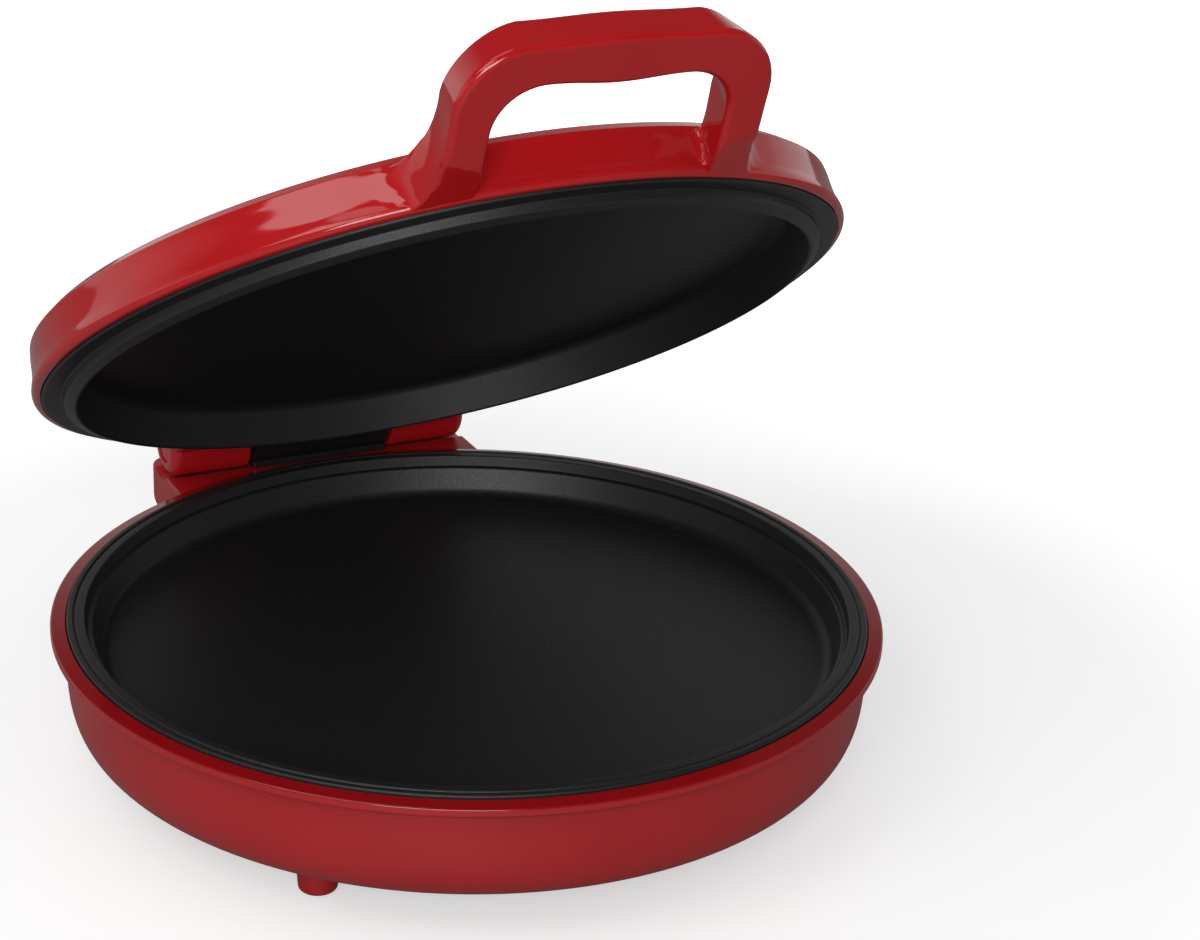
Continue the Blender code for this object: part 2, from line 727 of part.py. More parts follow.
def clip_outline(plate_z, way):
    """A strap that passes round the element tube and lies flat on the plate at both sides."""
    inner = ELEMENT_TUBE_R + 2 * SEAT_GAP
    outer = inner + CLIP_THICK
    seat = plate_z + way * SEAT_GAP
    centre = plate_z + way * (SEAT_GAP + ELEMENT_TUBE_R)
    arc = [math.pi * k / 6 for k in range(7)]
    inside = [(-inner * math.cos(a), centre + way * inner * math.sin(a)) for a in arc]
    outside = [(outer * math.cos(a), centre + way * outer * math.sin(a)) for a in arc]
    far = outer + CLIP_FOOT
    level = seat + way * CLIP_THICK
    return [
        (-far, seat),
        (-inner, seat),
        *inside,
        (inner, seat),
        (far, seat),
        (far, level),
        (outer, level),
        *outside,
        (-outer, level),
        (-far, level),
    ]


def element_clips(body, name, plate_z, way, steel):
    outline = clip_outline(plate_z, way)
    for i, angle in enumerate(CLIP_ANGLES, 1):
        ends = [[(u, y, z) for u, z in outline] for y in (-CLIP_LENGTH / 2, CLIP_LENGTH / 2)]
        mesh = loft_mesh(f"{name}_{i}", ends)
        add_object(f"{name}_{i}", mesh, body, steel, polar(ELEMENT_CIRCLE_R, angle), (0, 0, angle))


def heater(body, name, plate_z, way, metal):
    height = plate_z + way * (SEAT_GAP + ELEMENT_TUBE_R)
    route = element_route(height, min(way, 0))
    return tube_along(name, route, ELEMENT_TUBE_R, body, metal)


def thermostat(body, name, plate_z, way, metal):
    near = plate_z + way * SEAT_GAP
    far = near + way * THERMOSTAT_H
    shoulder = near + way * THERMOSTAT_H / 2
    cap_r = THERMOSTAT_R * 0.7
    profile = [(0, near), (THERMOSTAT_R, near), (THERMOSTAT_R, shoulder), (cap_r, shoulder), (cap_r, far), (0, far)]
    mesh = turned_mesh(name, profile, MID_STEPS)
    return add_object(name, mesh, body, metal, (0, -THERMOSTAT_OFF_AXIS, 0))


def thermal_fuse(body, name, plate_z, way, ceramic):
    mesh = rod_mesh(name, FUSE_R, -FUSE_LENGTH / 2, FUSE_LENGTH / 2, SMALL_STEPS)
    place = (FUSE_OFF_AXIS, 0, plate_z + way * (SEAT_GAP + FUSE_R / math.cos(math.pi / SMALL_STEPS)))
    return add_object(name, mesh, body, ceramic, place, (math.pi / 2, math.pi / SMALL_STEPS, 0))


def lower_heat_shield(body, sheet):
    """Reflector under the element. Four holes let the posts' necks through."""
    edge = WALL_R - SHIELD_INSET
    low = SHIELD_Z - SHIELD_THICK
    profile = [
        (0, SHIELD_Z),
        (edge - SHIELD_LIP, SHIELD_Z),
        (edge - SHIELD_THICK, SHIELD_Z + SHIELD_LIP),
        (edge, SHIELD_Z + SHIELD_LIP),
        (edge - SHIELD_LIP + SHIELD_THICK, low),
        (0, low),
    ]
    shield = add_object("lower_heat_shield", turned_mesh("lower_heat_shield", profile, BIG_STEPS // 2), body, sheet)
    hole = (POST_NECK_R + SEAT_GAP, low - OVERRUN, SHIELD_Z + OVERRUN)
    holes = [
        add_object(f"shield_hole_{i}", rod_mesh("shield_hole", *hole, SMALL_STEPS), body, None, polar(POST_CIRCLE_R, a))
        for i, a in enumerate(POST_ANGLES, 1)
    ]
    reach = ELEMENT_CIRCLE_R * math.sin(ELEMENT_GAP_ANGLE) + 2 * ELEMENT_TUBE_R
    low_corner = (-reach, ELEMENT_CIRCLE_R - 3 * ELEMENT_TUBE_R, low - OVERRUN)
    high_corner = (reach, ELEMENT_CIRCLE_R + 2 * ELEMENT_TUBE_R, SHIELD_Z + OVERRUN)
    window = add_object("terminal_window", box_mesh("terminal_window", low_corner, high_corner), body, None)
    return combine(shield, "DIFFERENCE", *holes, window)


# Mains side
def terminal_block_box():
    width, depth, height = BLOCK_SIZE
    front = ELEMENT_CIRCLE_R + BLOCK_BEHIND
    low = Vector((-width / 2, front, FLOOR_Z + BASE_WALL + SEAT_GAP))
    return low, low + Vector((width, depth, height))


def terminal_block(body, ceramic):
    low, high = terminal_block_box()
    return add_object("terminal_block", box_mesh("terminal_block", low, high), body, ceramic)


def mains_leads(body, sleeve):
    """From the gland down past the heat shield's rim to the terminal block."""
    low, high = terminal_block_box()
    nut_y = HOUSING_BACK_Y - HOUSING_WALL - SEAT_GAP - GLAND_NUT_T
    shield_edge = WALL_R - SHIELD_INSET
    gap_y = (shield_edge + WALL_R - BASE_WALL) / 2
    entry_z = (low.z + high.z) / 2
    for side in (-1, 1):
        near = side * (LEAD_R + SEAT_GAP)
        far = side * LEAD_PITCH
        route = [
            (near, nut_y - SEAT_GAP, gland_z()),
            (near, (nut_y + WALL_R) / 2, gland_z()),
            (near, WALL_R - 3 * LEAD_R, gland_z() - LEAD_R),
            (far, gap_y, (gland_z() + SHIELD_Z) / 2),
            (far, gap_y - 2 * LEAD_R, SHIELD_Z - 3 * LEAD_R),
            (far, (gap_y + high.y) / 2, entry_z),
            (far, high.y + SEAT_GAP, entry_z),
        ]
        tube_along(sided("mains_lead", side), smooth_route(route, 3), LEAD_R, body, sleeve)


def element_leads(body, sleeve):
    """From the terminal block up to the two ends of the lower element."""
    low, high = terminal_block_box()
    entry_z = (low.z + high.z) / 2
    height = DISH_UNDER_Z - SEAT_GAP - ELEMENT_TUBE_R - TERMINAL_DROP
    for side in (-1, 1):
        end = polar(ELEMENT_CIRCLE_R, math.pi / 2 - side * ELEMENT_GAP_ANGLE, height - 2 * SEAT_GAP)
        start = (side * LEAD_PITCH, low.y - SEAT_GAP, entry_z)
        route = [
            start,
            (start[0], start[1] - 2 * LEAD_R, entry_z),
            ((start[0] + end[0]) / 2, (start[1] + end[1]) / 2, entry_z),
            (end[0], end[1], end[2] - 2 * LEAD_R),
            end,
        ]
        tube_along(sided("element_lead", side), smooth_route(route, 3), LEAD_R, body, sleeve)


def cord_gland(body, black):
    """Collar in the housing's back wall, held by a nut inside. Its bore is empty."""
    inner = -HOUSING_WALL - SEAT_GAP
    profile = [
        (GLAND_BORE_R, GLAND_OUT),
        (GLAND_R * 0.8, GLAND_OUT),
        (GLAND_R, SEAT_GAP + GLAND_OUT / 4),
        (GLAND_R, SEAT_GAP),
        (GLAND_NECK_R, SEAT_GAP),
        (GLAND_NECK_R, inner),
        (GLAND_R * 0.76, inner),
        (GLAND_R * 0.76, inner - GLAND_NUT_T),
        (GLAND_BORE_R, inner - GLAND_NUT_T),
    ]
    mesh = turned_mesh("cord_gland", profile, MID_STEPS)
    place = (0, HOUSING_BACK_Y, gland_z())
    return add_object("cord_gland", mesh, body, black, place, (-math.pi / 2, 0, 0))


# Hinge pieces of the base
def arc_points(radius, start, end, steps):
    """(y, z) points of an arc about the hinge rod, angles counted from +Y towards +Z."""
    angles = [start + (end - start) * k / steps for k in range(steps + 1)]
    return [(HINGE_Y + radius * math.cos(a), HINGE_Z + radius * math.sin(a)) for a in angles]


def hinge_block(body, black):
    """Black knuckle between the lid's arms. It stands on the housing and holds the rod."""
    foot_z = HOUSING_TOP_Z + SEAT_GAP

    def outline(inset):
        radius = KNUCKLE_R - inset
        front = HINGE_Y - BLOCK_FOOT_FRONT + inset
        back = HINGE_Y + BLOCK_FOOT_BACK - inset
        level = foot_z + BLOCK_FOOT_T - inset
        dip = math.asin((HINGE_Z - level) / radius)
        return [(front, foot_z), (back, foot_z), (back, level), *arc_points(radius, -dip, math.pi + dip, 14), (front, level)]

    stations = [(-BLOCK_HALF_W, HOUSING_EDGE), (-BLOCK_HALF_W + HOUSING_EDGE, 0.0)]
    stations += [(-x, inset) for x, inset in stations[::-1]]
    sections = [[(x, y, z) for y, z in outline(inset)] for x, inset in stations]
    block = add_object("hinge_block", loft_mesh("hinge_block", sections), body, black)
    half = BLOCK_HALF_W + OVERRUN
    bore = rod_mesh("block_bore", BUSH_BORE_R, -half, half)
    bore = add_object("block_bore", bore, body, None, (0, HINGE_Y, HINGE_Z), along_x(1))
    holes = [screw_seat(body, side) for side in (-1, 1)]
    return combine(block, "DIFFERENCE", bore, *holes)


def block_screw_y():
    return HINGE_Y + BLOCK_FOOT_BACK - BLOCK_SCREW_SETBACK


def block_screw_seat():
    return HOUSING_TOP_Z + SEAT_GAP + BLOCK_FOOT_T - SEAT_GAP


def screw_seat(body, side):
    """Clearance hole through the block's foot and a flat spot for the screw's head."""
    seat = block_screw_seat()
    hole = BLOCK_SCREW_R + HOLE_MARGIN
    head = BLOCK_SCREW_HEAD_R + HOLE_MARGIN
    top = seat + BLOCK_SCREW_HEAD_T + OVERRUN
    low = HOUSING_TOP_Z - OVERRUN
    profile = [(0, top), (head, top), (head, seat), (hole, seat), (hole, low), (0, low)]
    mesh = turned_mesh("screw_seat", profile, SMALL_STEPS)
    return add_object(sided("screw_seat", side), mesh, body, None, (side * BLOCK_SCREW_X, block_screw_y(), 0))


def hinge_block_screws(body, steel):
    seat = block_screw_seat() + SEAT_GAP
    top = seat + BLOCK_SCREW_HEAD_T
    tip = seat - BLOCK_SCREW_LENGTH
    profile = [
        (0, top),
        (BLOCK_SCREW_HEAD_R / 2, top),
        (BLOCK_SCREW_HEAD_R, seat + BLOCK_SCREW_HEAD_T / 3),
        (BLOCK_SCREW_HEAD_R, seat),
        (BLOCK_SCREW_R, seat),
        (BLOCK_SCREW_R, tip),
        (0, tip),
    ]
    for side in (-1, 1):
        name = sided("hinge_block_screw", side)
        place = (side * BLOCK_SCREW_X, block_screw_y(), 0)
        add_object(name, turned_mesh(name, profile, SMALL_STEPS), body, steel, place)


def rod_half_length():
    return CAP_FLOOR_X - SEAT_GAP - 2 * CLIP_RING_T


def hinge_rod(body, steel):
    half = rod_half_length()
    place = (0, HINGE_Y, HINGE_Z)
    return add_object("hinge_rod", rod_mesh("hinge_rod", ROD_R, -half, half), body, steel, place, along_x(1))


def rod_clips(body, steel):
    """Rings pushed on the rod's ends, which keep it from sliding out of the block."""
    end = rod_half_length()
    for side in (-1, 1):
        name = sided("rod_clip", side)
        mesh = tube_mesh(name, ROD_R + SEAT_GAP, BUSH_R, end - 2 * CLIP_RING_T, end - CLIP_RING_T, SMALL_STEPS)
        add_object(name, mesh, body, steel, (0, HINGE_Y, HINGE_Z), along_x(side))


# Lid cover
def dome_z(radius):
    share = min(radius / DOME_R, 1.0)
    return DOME_EDGE_Z + DOME_RISE * (1 - share**DOME_POWER)


def outer_lid_mesh():
    """Solid lid: rounded lip, side band that narrows to its top, sloping shoulder and a low dome."""
    lip = [(LID_R - LIP_TUCK, LID_Z), (LID_R - LIP_TUCK / 3, LID_Z + BAND_H * 0.04), (LID_R, LID_Z + BAND_H * 0.12)]
    taper_and_height_shares = ((0.15, 0.225), (0.44, 0.35), (0.67, 0.57), (0.85, 0.83), (0.9, 0.95), (1, 1))
    band = [(LID_R - BAND_TAPER * narrow, LID_Z + BAND_H * up) for narrow, up in taper_and_height_shares]
    shoulder = [(DOME_R + SHOULDER_W * 0.15, DOME_EDGE_Z - SHOULDER_H * 0.15)]
    dome = [(r, dome_z(r)) for r in (DOME_R * share for share in (0.99, 0.94, 0.84, 0.68, 0.48, 0.25))]
    profile = [(0, LID_Z), *lip, *band, *shoulder, *dome, (0, dome_z(0))]
    return turned_mesh("lid_cover", profile[::-1], BIG_STEPS)


def lid_cavity(body):
    """Room inside the cover, with the narrow seat above the upper plate's rim."""
    shares = (0.985, 0.9, 0.72, 0.45, 0)
    roof = [(CAVITY_TOP_R * share, dome_z(CAVITY_TOP_R * share) - LID_WALL) for share in shares]
    seat_z = LID_Z + LID_SEAT_H
    profile = [
        (0, LID_Z - OVERRUN),
        (CAVITY_R + LID_SEAT_W, LID_Z - OVERRUN),
        (CAVITY_R + LID_SEAT_W, seat_z),
        (CAVITY_R, seat_z),
        (CAVITY_TOP_R, BAND_TOP_Z - LID_WALL * 1.5),
        *roof,
    ]
    return add_object("lid_cavity", turned_mesh("lid_cavity", profile[::-1], BIG_STEPS), body, None)


def lid_arm(body, side):
    """Hinge arm: a barrel round the rod and a web that runs into the lid's band."""
    low = LID_Z + SLIDE_GAP
    high = BAND_TOP_Z - SEAT_GAP
    root = HINGE_Y - ARM_ROOT - HINGE_BACK

    def outline(inset):
        radius = ARM_R - inset
        web_low = low + inset
        web_high = high - inset
        dip = math.asin((HINGE_Z - web_low) / radius)
        reach = math.hypot(HINGE_Y - root, web_high - HINGE_Z)
        top = math.atan2(web_high - HINGE_Z, root - HINGE_Y) - math.acos(radius / reach)
        arc = arc_points(radius, math.pi + dip, 2 * math.pi + top, 14)
        return [(root, web_low), *arc, (root, web_high)]

    turns = [math.pi / 2 * k / 3 for k in range(4)]
    stations = [(ARM_INNER_X, HOUSING_EDGE), (ARM_INNER_X + HOUSING_EDGE, 0.0)]
    stations += [
        (ARM_OUTER_X - ARM_ROUND + ARM_ROUND * math.sin(a), ARM_ROUND * (1 - math.cos(a))) for a in turns
    ]
    sections = [[(side * x, y, z) for y, z in outline(inset)] for x, inset in stations]
    return add_object(sided("lid_arm", side), loft_mesh("lid_arm", sections), body, None)


def arm_bore(body, side):
    """Bore for bush and rod, and the shallow recess for the cap on the arm's outer face."""
    profile = [
        (0, ARM_OUTER_X + OVERRUN),
        (ARM_CAP_R + SEAT_GAP, ARM_OUTER_X + OVERRUN),
        (ARM_CAP_R + SEAT_GAP, CAP_FLOOR_X),
        (ARM_BORE_R, CAP_FLOOR_X),
        (ARM_BORE_R, ARM_INNER_X - OVERRUN),
        (0, ARM_INNER_X - OVERRUN),
    ]
    mesh = turned_mesh("arm_bore", profile, MID_STEPS)
    return add_object(sided("arm_bore", side), mesh, body, None, (0, HINGE_Y, HINGE_Z), along_x(side))


def cover_lugs(body):
    """Small hooks inside the band on which the upper heat shield's rim rests."""
    top = upper_shield_rim_z() - SHIELD_THICK - SEAT_GAP
    lugs = []
    for i in range(LUG_COUNT):
        angle = 2 * math.pi * (i + 0.5) / LUG_COUNT
        low = (CAVITY_R - LUG_REACH, -LUG_LENGTH / 2, top - LUG_T)
        high = (CAVITY_R + LID_SEAT_W, LUG_LENGTH / 2, top)
        mesh = box_mesh("cover_lug", low, high)
        lugs.append(add_object(f"cover_lug_{i + 1}", mesh, body, None, (0, 0, 0), (0, 0, angle)))
    return lugs


def lid_cover(body, red):
    cover = add_object("lid_cover", outer_lid_mesh(), body, red)
    combine(cover, "UNION", *[lid_arm(body, side) for side in (-1, 1)], handle_loop(body))
    combine(cover, "DIFFERENCE", lid_cavity(body))
    combine(cover, "UNION", *cover_lugs(body))
    combine(cover, "DIFFERENCE", *[arm_bore(body, side) for side in (-1, 1)])
    combine(cover, "DIFFERENCE", *[lens_seat(body, side) for side in (-1, 1)])
    combine(cover, "DIFFERENCE", handle_back_strip(body, "back_recess", SEAT_GAP, None))
    combine(cover, "DIFFERENCE", *[handle_screw_hole(body, side) for side in (-1, 1)])
    return cover


def hinge_bushes(body, nylon):
    """Flanged bushes in the arms. They turn on the rod, and the flange faces the block."""
    end = rod_half_length() - 2 * CLIP_RING_T - SEAT_GAP
    start = ARM_INNER_X - SEAT_GAP - BUSH_FLANGE_T
    profile = [
        (BUSH_BORE_R, end),
        (BUSH_R, end),
        (BUSH_R, start + BUSH_FLANGE_T),
        (BUSH_FLANGE_R, start + BUSH_FLANGE_T),
        (BUSH_FLANGE_R, start),
        (BUSH_BORE_R, start),
    ]
    for side in (-1, 1):
        name = sided("hinge_bush", side)
        mesh = turned_mesh(name, profile, MID_STEPS)
        add_object(name, mesh, body, nylon, (0, HINGE_Y, HINGE_Z), along_x(side))


def hinge_caps(body, red):
    for side in (-1, 1):
        name = sided("hinge_cap", side)
        mesh = rod_mesh(name, ARM_CAP_R, CAP_FLOOR_X + SEAT_GAP, ARM_OUTER_X - SEAT_GAP)
        add_object(name, mesh, body, red, (0, HINGE_Y, HINGE_Z), along_x(side))


# Upper cooking plate
def upper_plate(body, cast_black):
    """Cast plate: flat outer ring, sloping bead and a deep hollow that faces the food."""
    ring_back = ANNULUS_Z + ANNULUS_THICK
    bead_in = BEAD_R - BEAD_W
    round_r = ANNULUS_ROUND
    visible = [
        (0, CAVITY_FLOOR_Z),
        (UPPER_FLOOR_R - CAVITY_SLOPE_W / 2, CAVITY_FLOOR_Z),
        (UPPER_FLOOR_R, CAVITY_FLOOR_Z - CAVITY_SLOPE_W / 6),
        (bead_in, BEAD_Z + round_r),
        (bead_in + round_r, BEAD_Z),
        (BEAD_R - round_r / 2, ANNULUS_Z - BEAD_STEP),
        (BEAD_R, ANNULUS_Z - BEAD_STEP + round_r),
        (BEAD_R + round_r / 2, ANNULUS_Z),
        (UPPER_R - round_r, ANNULUS_Z),
        (UPPER_R, ANNULUS_Z + round_r),
    ]
    hidden = [
        (UPPER_R, ring_back),
        (BEAD_R + round_r, ring_back),
        (UPPER_FLOOR_R + PLATE_WALL, CAVITY_FLOOR_Z),
        (UPPER_FLOOR_R - CAVITY_SLOPE_W / 3, UPPER_BACK_Z),
        (0, UPPER_BACK_Z),
    ]
    plate = add_object("upper_plate", turned_mesh("upper_plate", [*visible, *hidden], BIG_STEPS), body, cast_black)
    top = upper_shield_z(POST_CIRCLE_R) - SHIELD_THICK - SEAT_GAP - SLIDE_GAP
    places = [polar(POST_CIRCLE_R, angle) for angle in POST_ANGLES]
    root = UPPER_BACK_Z - PLATE_WALL / 2
    bosses = [
        add_object(f"upper_boss_{i}", rod_mesh("upper_boss", BOSS_R, root, top, SMALL_STEPS), body, None, place)
        for i, place in enumerate(places, 1)
    ]
    tip = shield_screw_seat() - SHIELD_SCREW_LENGTH - SEAT_GAP
    holes = [
        add_object(
            f"upper_boss_hole_{i}",
            rod_mesh("upper_boss_hole", SCREW_R + HOLE_MARGIN, tip, top + OVERRUN, SMALL_STEPS),
            body,
            None,
            place,
        )
        for i, place in enumerate(places, 1)
    ]
    combine(plate, "UNION", *bosses)
    return combine(plate, "DIFFERENCE", *holes)


def upper_shield_rim_z():
    return ANNULUS_Z + ANNULUS_THICK + LUG_T + LUG_T


def upper_shield_z(radius):
    """Top side of the upper heat shield, which follows the dome."""
    return dome_z(radius) - LID_WALL - UPPER_SHIELD_CLEAR


def upper_heat_shield(body, sheet):
    rim_r = CAVITY_TOP_R - SLIDE_GAP
    wall_r = rim_r - UPPER_SHIELD_RIM_W
    roof_r = wall_r - UPPER_SHIELD_WALL_W
    rim_z = upper_shield_rim_z()
    shares = (1, 0.85, 0.5)
    roof = [(roof_r * s, upper_shield_z(roof_r * s)) for s in shares]
    under = [(r - SHIELD_THICK if i == 0 else r, z - SHIELD_THICK) for i, (r, z) in enumerate(roof)]
    profile = [
        (0, upper_shield_z(0)),
        *roof[::-1],
        (wall_r, rim_z),
        (rim_r, rim_z),
        (rim_r, rim_z - SHIELD_THICK),
        (wall_r - SHIELD_THICK, rim_z - SHIELD_THICK),
        *under,
        (0, upper_shield_z(0) - SHIELD_THICK),
    ]
    shield = add_object("upper_heat_shield", turned_mesh("upper_heat_shield", profile, BIG_STEPS // 2), body, sheet)
    height = shield_screw_seat()
    holes = [
        add_object(
            f"upper_shield_hole_{i}",
            rod_mesh("upper_shield_hole", SCREW_R + HOLE_MARGIN, height - OVERRUN, height + OVERRUN, SMALL_STEPS),
            body,
            None,
            polar(POST_CIRCLE_R, angle),
        )
        for i, angle in enumerate(POST_ANGLES, 1)
    ]
    return combine(shield, "DIFFERENCE", *holes)


def shield_screw_seat():
    """Height of the screw heads' undersides, clear of the sloping shield."""
    return upper_shield_z(POST_CIRCLE_R - SCREW_HEAD_R) + SEAT_GAP


def shield_screws(body, steel):
    seat = shield_screw_seat()
    top = seat + SHIELD_SCREW_HEAD_T
    tip = seat - SHIELD_SCREW_LENGTH
    profile = [(0, top), (SCREW_HEAD_R, top), (SCREW_HEAD_R, seat), (SCREW_R, seat), (SCREW_R, tip), (0, tip)]
    for i, angle in enumerate(POST_ANGLES, 1):
        name = f"shield_screw_{i}"
        add_object(name, turned_mesh(name, profile, SMALL_STEPS), body, steel, polar(POST_CIRCLE_R, angle))


# Lid lamps
def lamp_place(side):
    """Point and tilt of a lamp on the dome, square to the surface there."""
    slope = DOME_RISE * DOME_POWER / DOME_R * (LAMP_CIRCLE_R / DOME_R) ** (DOME_POWER - 1)
    turn = math.asin(LAMP_HALF_PITCH / LAMP_CIRCLE_R) * side
    place = (side * LAMP_HALF_PITCH, -LAMP_CIRCLE_R * math.cos(turn), dome_z(LAMP_CIRCLE_R))
    return place, (math.atan(slope), 0, turn)


def lens_seat(body, side):
    place, turn = lamp_place(side)
    deep = LENS_SEAT
    hole = LENS_STEM_R + SEAT_GAP
    wide = LENS_R + SEAT_GAP
    low = -LID_WALL - OVERRUN
    profile = [(0, OVERRUN), (wide, OVERRUN), (wide, -deep), (hole, -deep), (hole, low), (0, low)]
    return add_object(sided("lens_seat", side), turned_mesh("lens_seat", profile, MID_STEPS), body, None, place, turn)


def lamp_lenses(body, colours):
    """Domed lens with a hollow stem through the cover, and the small lamp inside it."""
    seat = SEAT_GAP - LENS_SEAT
    low = seat - LENS_STEM
    hollow = LENS_STEM_R - LENS_WALL
    roof = seat - LENS_WALL / 2
    profile = [
        (0, LENS_PROUD),
        (LENS_R * 0.5, LENS_PROUD * 0.8),
        (LENS_R * 0.86, LENS_PROUD * 0.3),
        (LENS_R, -LENS_SEAT / 3),
        (LENS_R, seat),
        (LENS_STEM_R, seat),
        (LENS_STEM_R, low),
        (hollow, low),
        (hollow, roof),
        (0, roof),
    ]
    for side, (name, lens, glow) in zip((-1, 1), colours):
        place, turn = lamp_place(side)
        add_object(f"{name}_lens", turned_mesh(f"{name}_lens", profile, MID_STEPS), body, lens, place, turn)
        mesh = rod_mesh(f"{name}_lamp", LAMP_R, low, roof - SEAT_GAP, SMALL_STEPS)
        add_object(f"{name}_lamp", mesh, body, glow, place, turn)


# Handle. Its own coordinates are x across, y from its front face to its back, z up its length
def handle_place():
    return (0, -LID_R, LID_Z + HANDLE_FOOT_UP), (HANDLE_TILT, 0, 0)


def grip_half():
    """(inner point, outer point, draft) from the top of the right leg to the middle, in x and z."""
    stations = []
    centre_in = (LEG_INNER_X - CORNER_IN_R, GRIP_INNER_H - CORNER_IN_R)
    centre_out = (HANDLE_HALF_W - CORNER_OUT_R, HANDLE_HEIGHT - CORNER_OUT_R)
    for k in range(6):
        a = math.pi / 2 * k / 5
        inner = (centre_in[0] + CORNER_IN_R * math.cos(a), centre_in[1] + CORNER_IN_R * math.sin(a))
        outer = (centre_out[0] + CORNER_OUT_R * math.cos(a), centre_out[1] + CORNER_OUT_R * math.sin(a))
        plain = LEG_DRAFT if k < 3 else GRIP_DRAFT
        stations.append((inner, outer, plain + (CORNER_DRAFT - plain) * math.sin(2 * a)))
    for share in (0.75, 0.5, 0.25, 0.0):
        rise = (1 + math.cos(math.pi * share)) / 2
        inner = (centre_in[0] * share, GRIP_INNER_H - PALM_SWELL * rise)
        outer = (centre_out[0] * share, HANDLE_HEIGHT + GRIP_ARCH * rise)
        stations.append((inner, outer, GRIP_DRAFT))
    return stations


def grip_section(inner, outer, draft, front, back, inset, edge):
    """Four rounded corners between an inner and an outer point. It narrows towards the back."""
    a = Vector((inner[0], 0, inner[1]))
    b = Vector((outer[0], 0, outer[1]))
    along = (b - a).normalized()
    corners = []
    for depth, ends in ((front, (a, b)), (back, (b, a))):
        narrow = inset + draft * depth / GRIP_DEPTH
        shifted = {0: a + along * narrow, 1: b - along * narrow}
        corners += [shifted[0 if end is a else 1] + Vector((0, depth, 0)) for end in ends]
    return rounded_loop(corners, (edge,) * 4)


def leg_section(height):
    return grip_section((LEG_INNER_X, height), (HANDLE_HALF_W, height), LEG_DRAFT, 0, GRIP_DEPTH, 0, GRIP_EDGE)


def leg_back_y(height):
    """Where a leg's back edge is, lid shut, at this height above the base's floor."""
    rise = height - LID_Z - HANDLE_FOOT_UP - GRIP_DEPTH * math.sin(HANDLE_TILT)
    return GRIP_DEPTH * math.cos(HANDLE_TILT) - LID_R - rise * math.tan(HANDLE_TILT)


def leg_narrowing(y, height):
    """How far the draft has moved a leg's flank in, lid shut, at this place."""
    depth = (y + LID_R) * math.cos(HANDLE_TILT) + (height - LID_Z - HANDLE_FOOT_UP) * math.sin(HANDLE_TILT)
    return LEG_DRAFT * min(max(depth / GRIP_DEPTH, 0), 1)


def leg_flare(body, side):
    """Concave fillet between a leg's outer flank and the side band. It dies out up the leg."""
    band_r = LID_R - BAND_TAPER * 0.67
    centre_x = HANDLE_HALF_W + FLARE_R
    centre_y = -math.sqrt((band_r + FLARE_R) ** 2 - centre_x**2)
    last = math.atan2(-centre_y, -centre_x)
    turns = [math.pi + (last - math.pi) * k / 5 for k in range(6)]
    arc = [Vector((centre_x + FLARE_R * math.cos(a), centre_y + FLARE_R * math.sin(a))) for a in turns]
    flank = arc[0]
    inside = [arc[-1] + Vector((-FLARE_SINK, 2 * FLARE_SINK)), Vector((HANDLE_HALF_W - FLARE_SINK, arc[-1].y))]
    height_and_width_shares = ((-0.2, 1), (0.86, 1), (1.05, 0.5), (1.13, 0.32), (1.28, 0.19), (1.46, 0.08), (1.55, 0.03))
    sections = []
    for up, width in height_and_width_shares:
        height = LID_Z + BAND_H * up
        root_y = min(flank.y, leg_back_y(height)) if width < 1 else flank.y
        root = Vector((flank.x - leg_narrowing(root_y, height), root_y))
        outline = [root + (point - flank) * width for point in [*arc, *inside]]
        outline.append(root + Vector((-FLARE_SINK, -FLARE_SINK)))
        sections.append([(side * p.x, p.y, height) for p in outline])
    return add_object(sided("leg_flare", side), loft_mesh("leg_flare", sections), body, None)


def mirrored(section):
    """The same section on the other leg, its points kept in matching order."""
    return [Vector((-p.x, p.y, p.z)) for p in section]


def handle_loop(body):
    """One closed loop: foot, leg, corner and grip, then the same mirrored."""
    right = [leg_section(height) for height in (-HANDLE_ROOT, GRIP_DEPTH)]
    right += [grip_section(*station, 0, GRIP_DEPTH, 0, GRIP_EDGE) for station in grip_half()]
    left = [mirrored(section) for section in right[:-1]]
    place, turn = handle_place()
    loop = add_object("handle_loop", loft_mesh("handle_loop", [*right, *left[::-1]]), body, None, place, turn)
    combine(loop, "UNION", *[leg_flare(body, side) for side in (-1, 1)])
    return combine(loop, "DIFFERENCE", foot_trim(body))


def foot_trim(body):
    """Cuts the legs off at the lid's lip. Further out, the cut rises as a shallow cone."""
    lip_r = LID_R - LIP_TUCK
    lip_z = LID_Z + SEAT_GAP
    out_r = LID_R + HANDLE_HEIGHT
    out_z = lip_z + (out_r - lip_r) * FOOT_CONE_RISE
    low_z = LID_Z - HANDLE_HEIGHT
    profile = [(LID_R / 2, lip_z), (lip_r, lip_z), (out_r, out_z), (out_r, low_z), (LID_R / 2, low_z)]
    return add_object("foot_trim", turned_mesh("foot_trim", profile, BIG_STEPS), body, None)


def handle_back_strip(body, name, grow, material):
    """The strip that closes the handle's back, or with grow its recess in the handle."""
    inset = BACK_MARGIN - grow
    front = GRIP_DEPTH - BACK_THICK - grow
    back = GRIP_DEPTH - SEAT_GAP if grow == 0 else GRIP_DEPTH + OVERRUN
    low = BACK_START - grow
    leg = ((LEG_INNER_X, low), (HANDLE_HALF_W, low), LEG_DRAFT)
    edge = GRIP_EDGE / 4
    right = [grip_section(*station, front, back, inset, edge) for station in [leg, *grip_half()]]
    left = [mirrored(section) for section in right[:-1]]
    place, turn = handle_place()
    strip = add_object(name, loft_mesh(name, [*right, *left[::-1]]), body, material, place, turn)
    if grow == 0:
        combine(strip, "DIFFERENCE", *[strip_screw_hole(body, side) for side in (-1, 1)])
    return strip


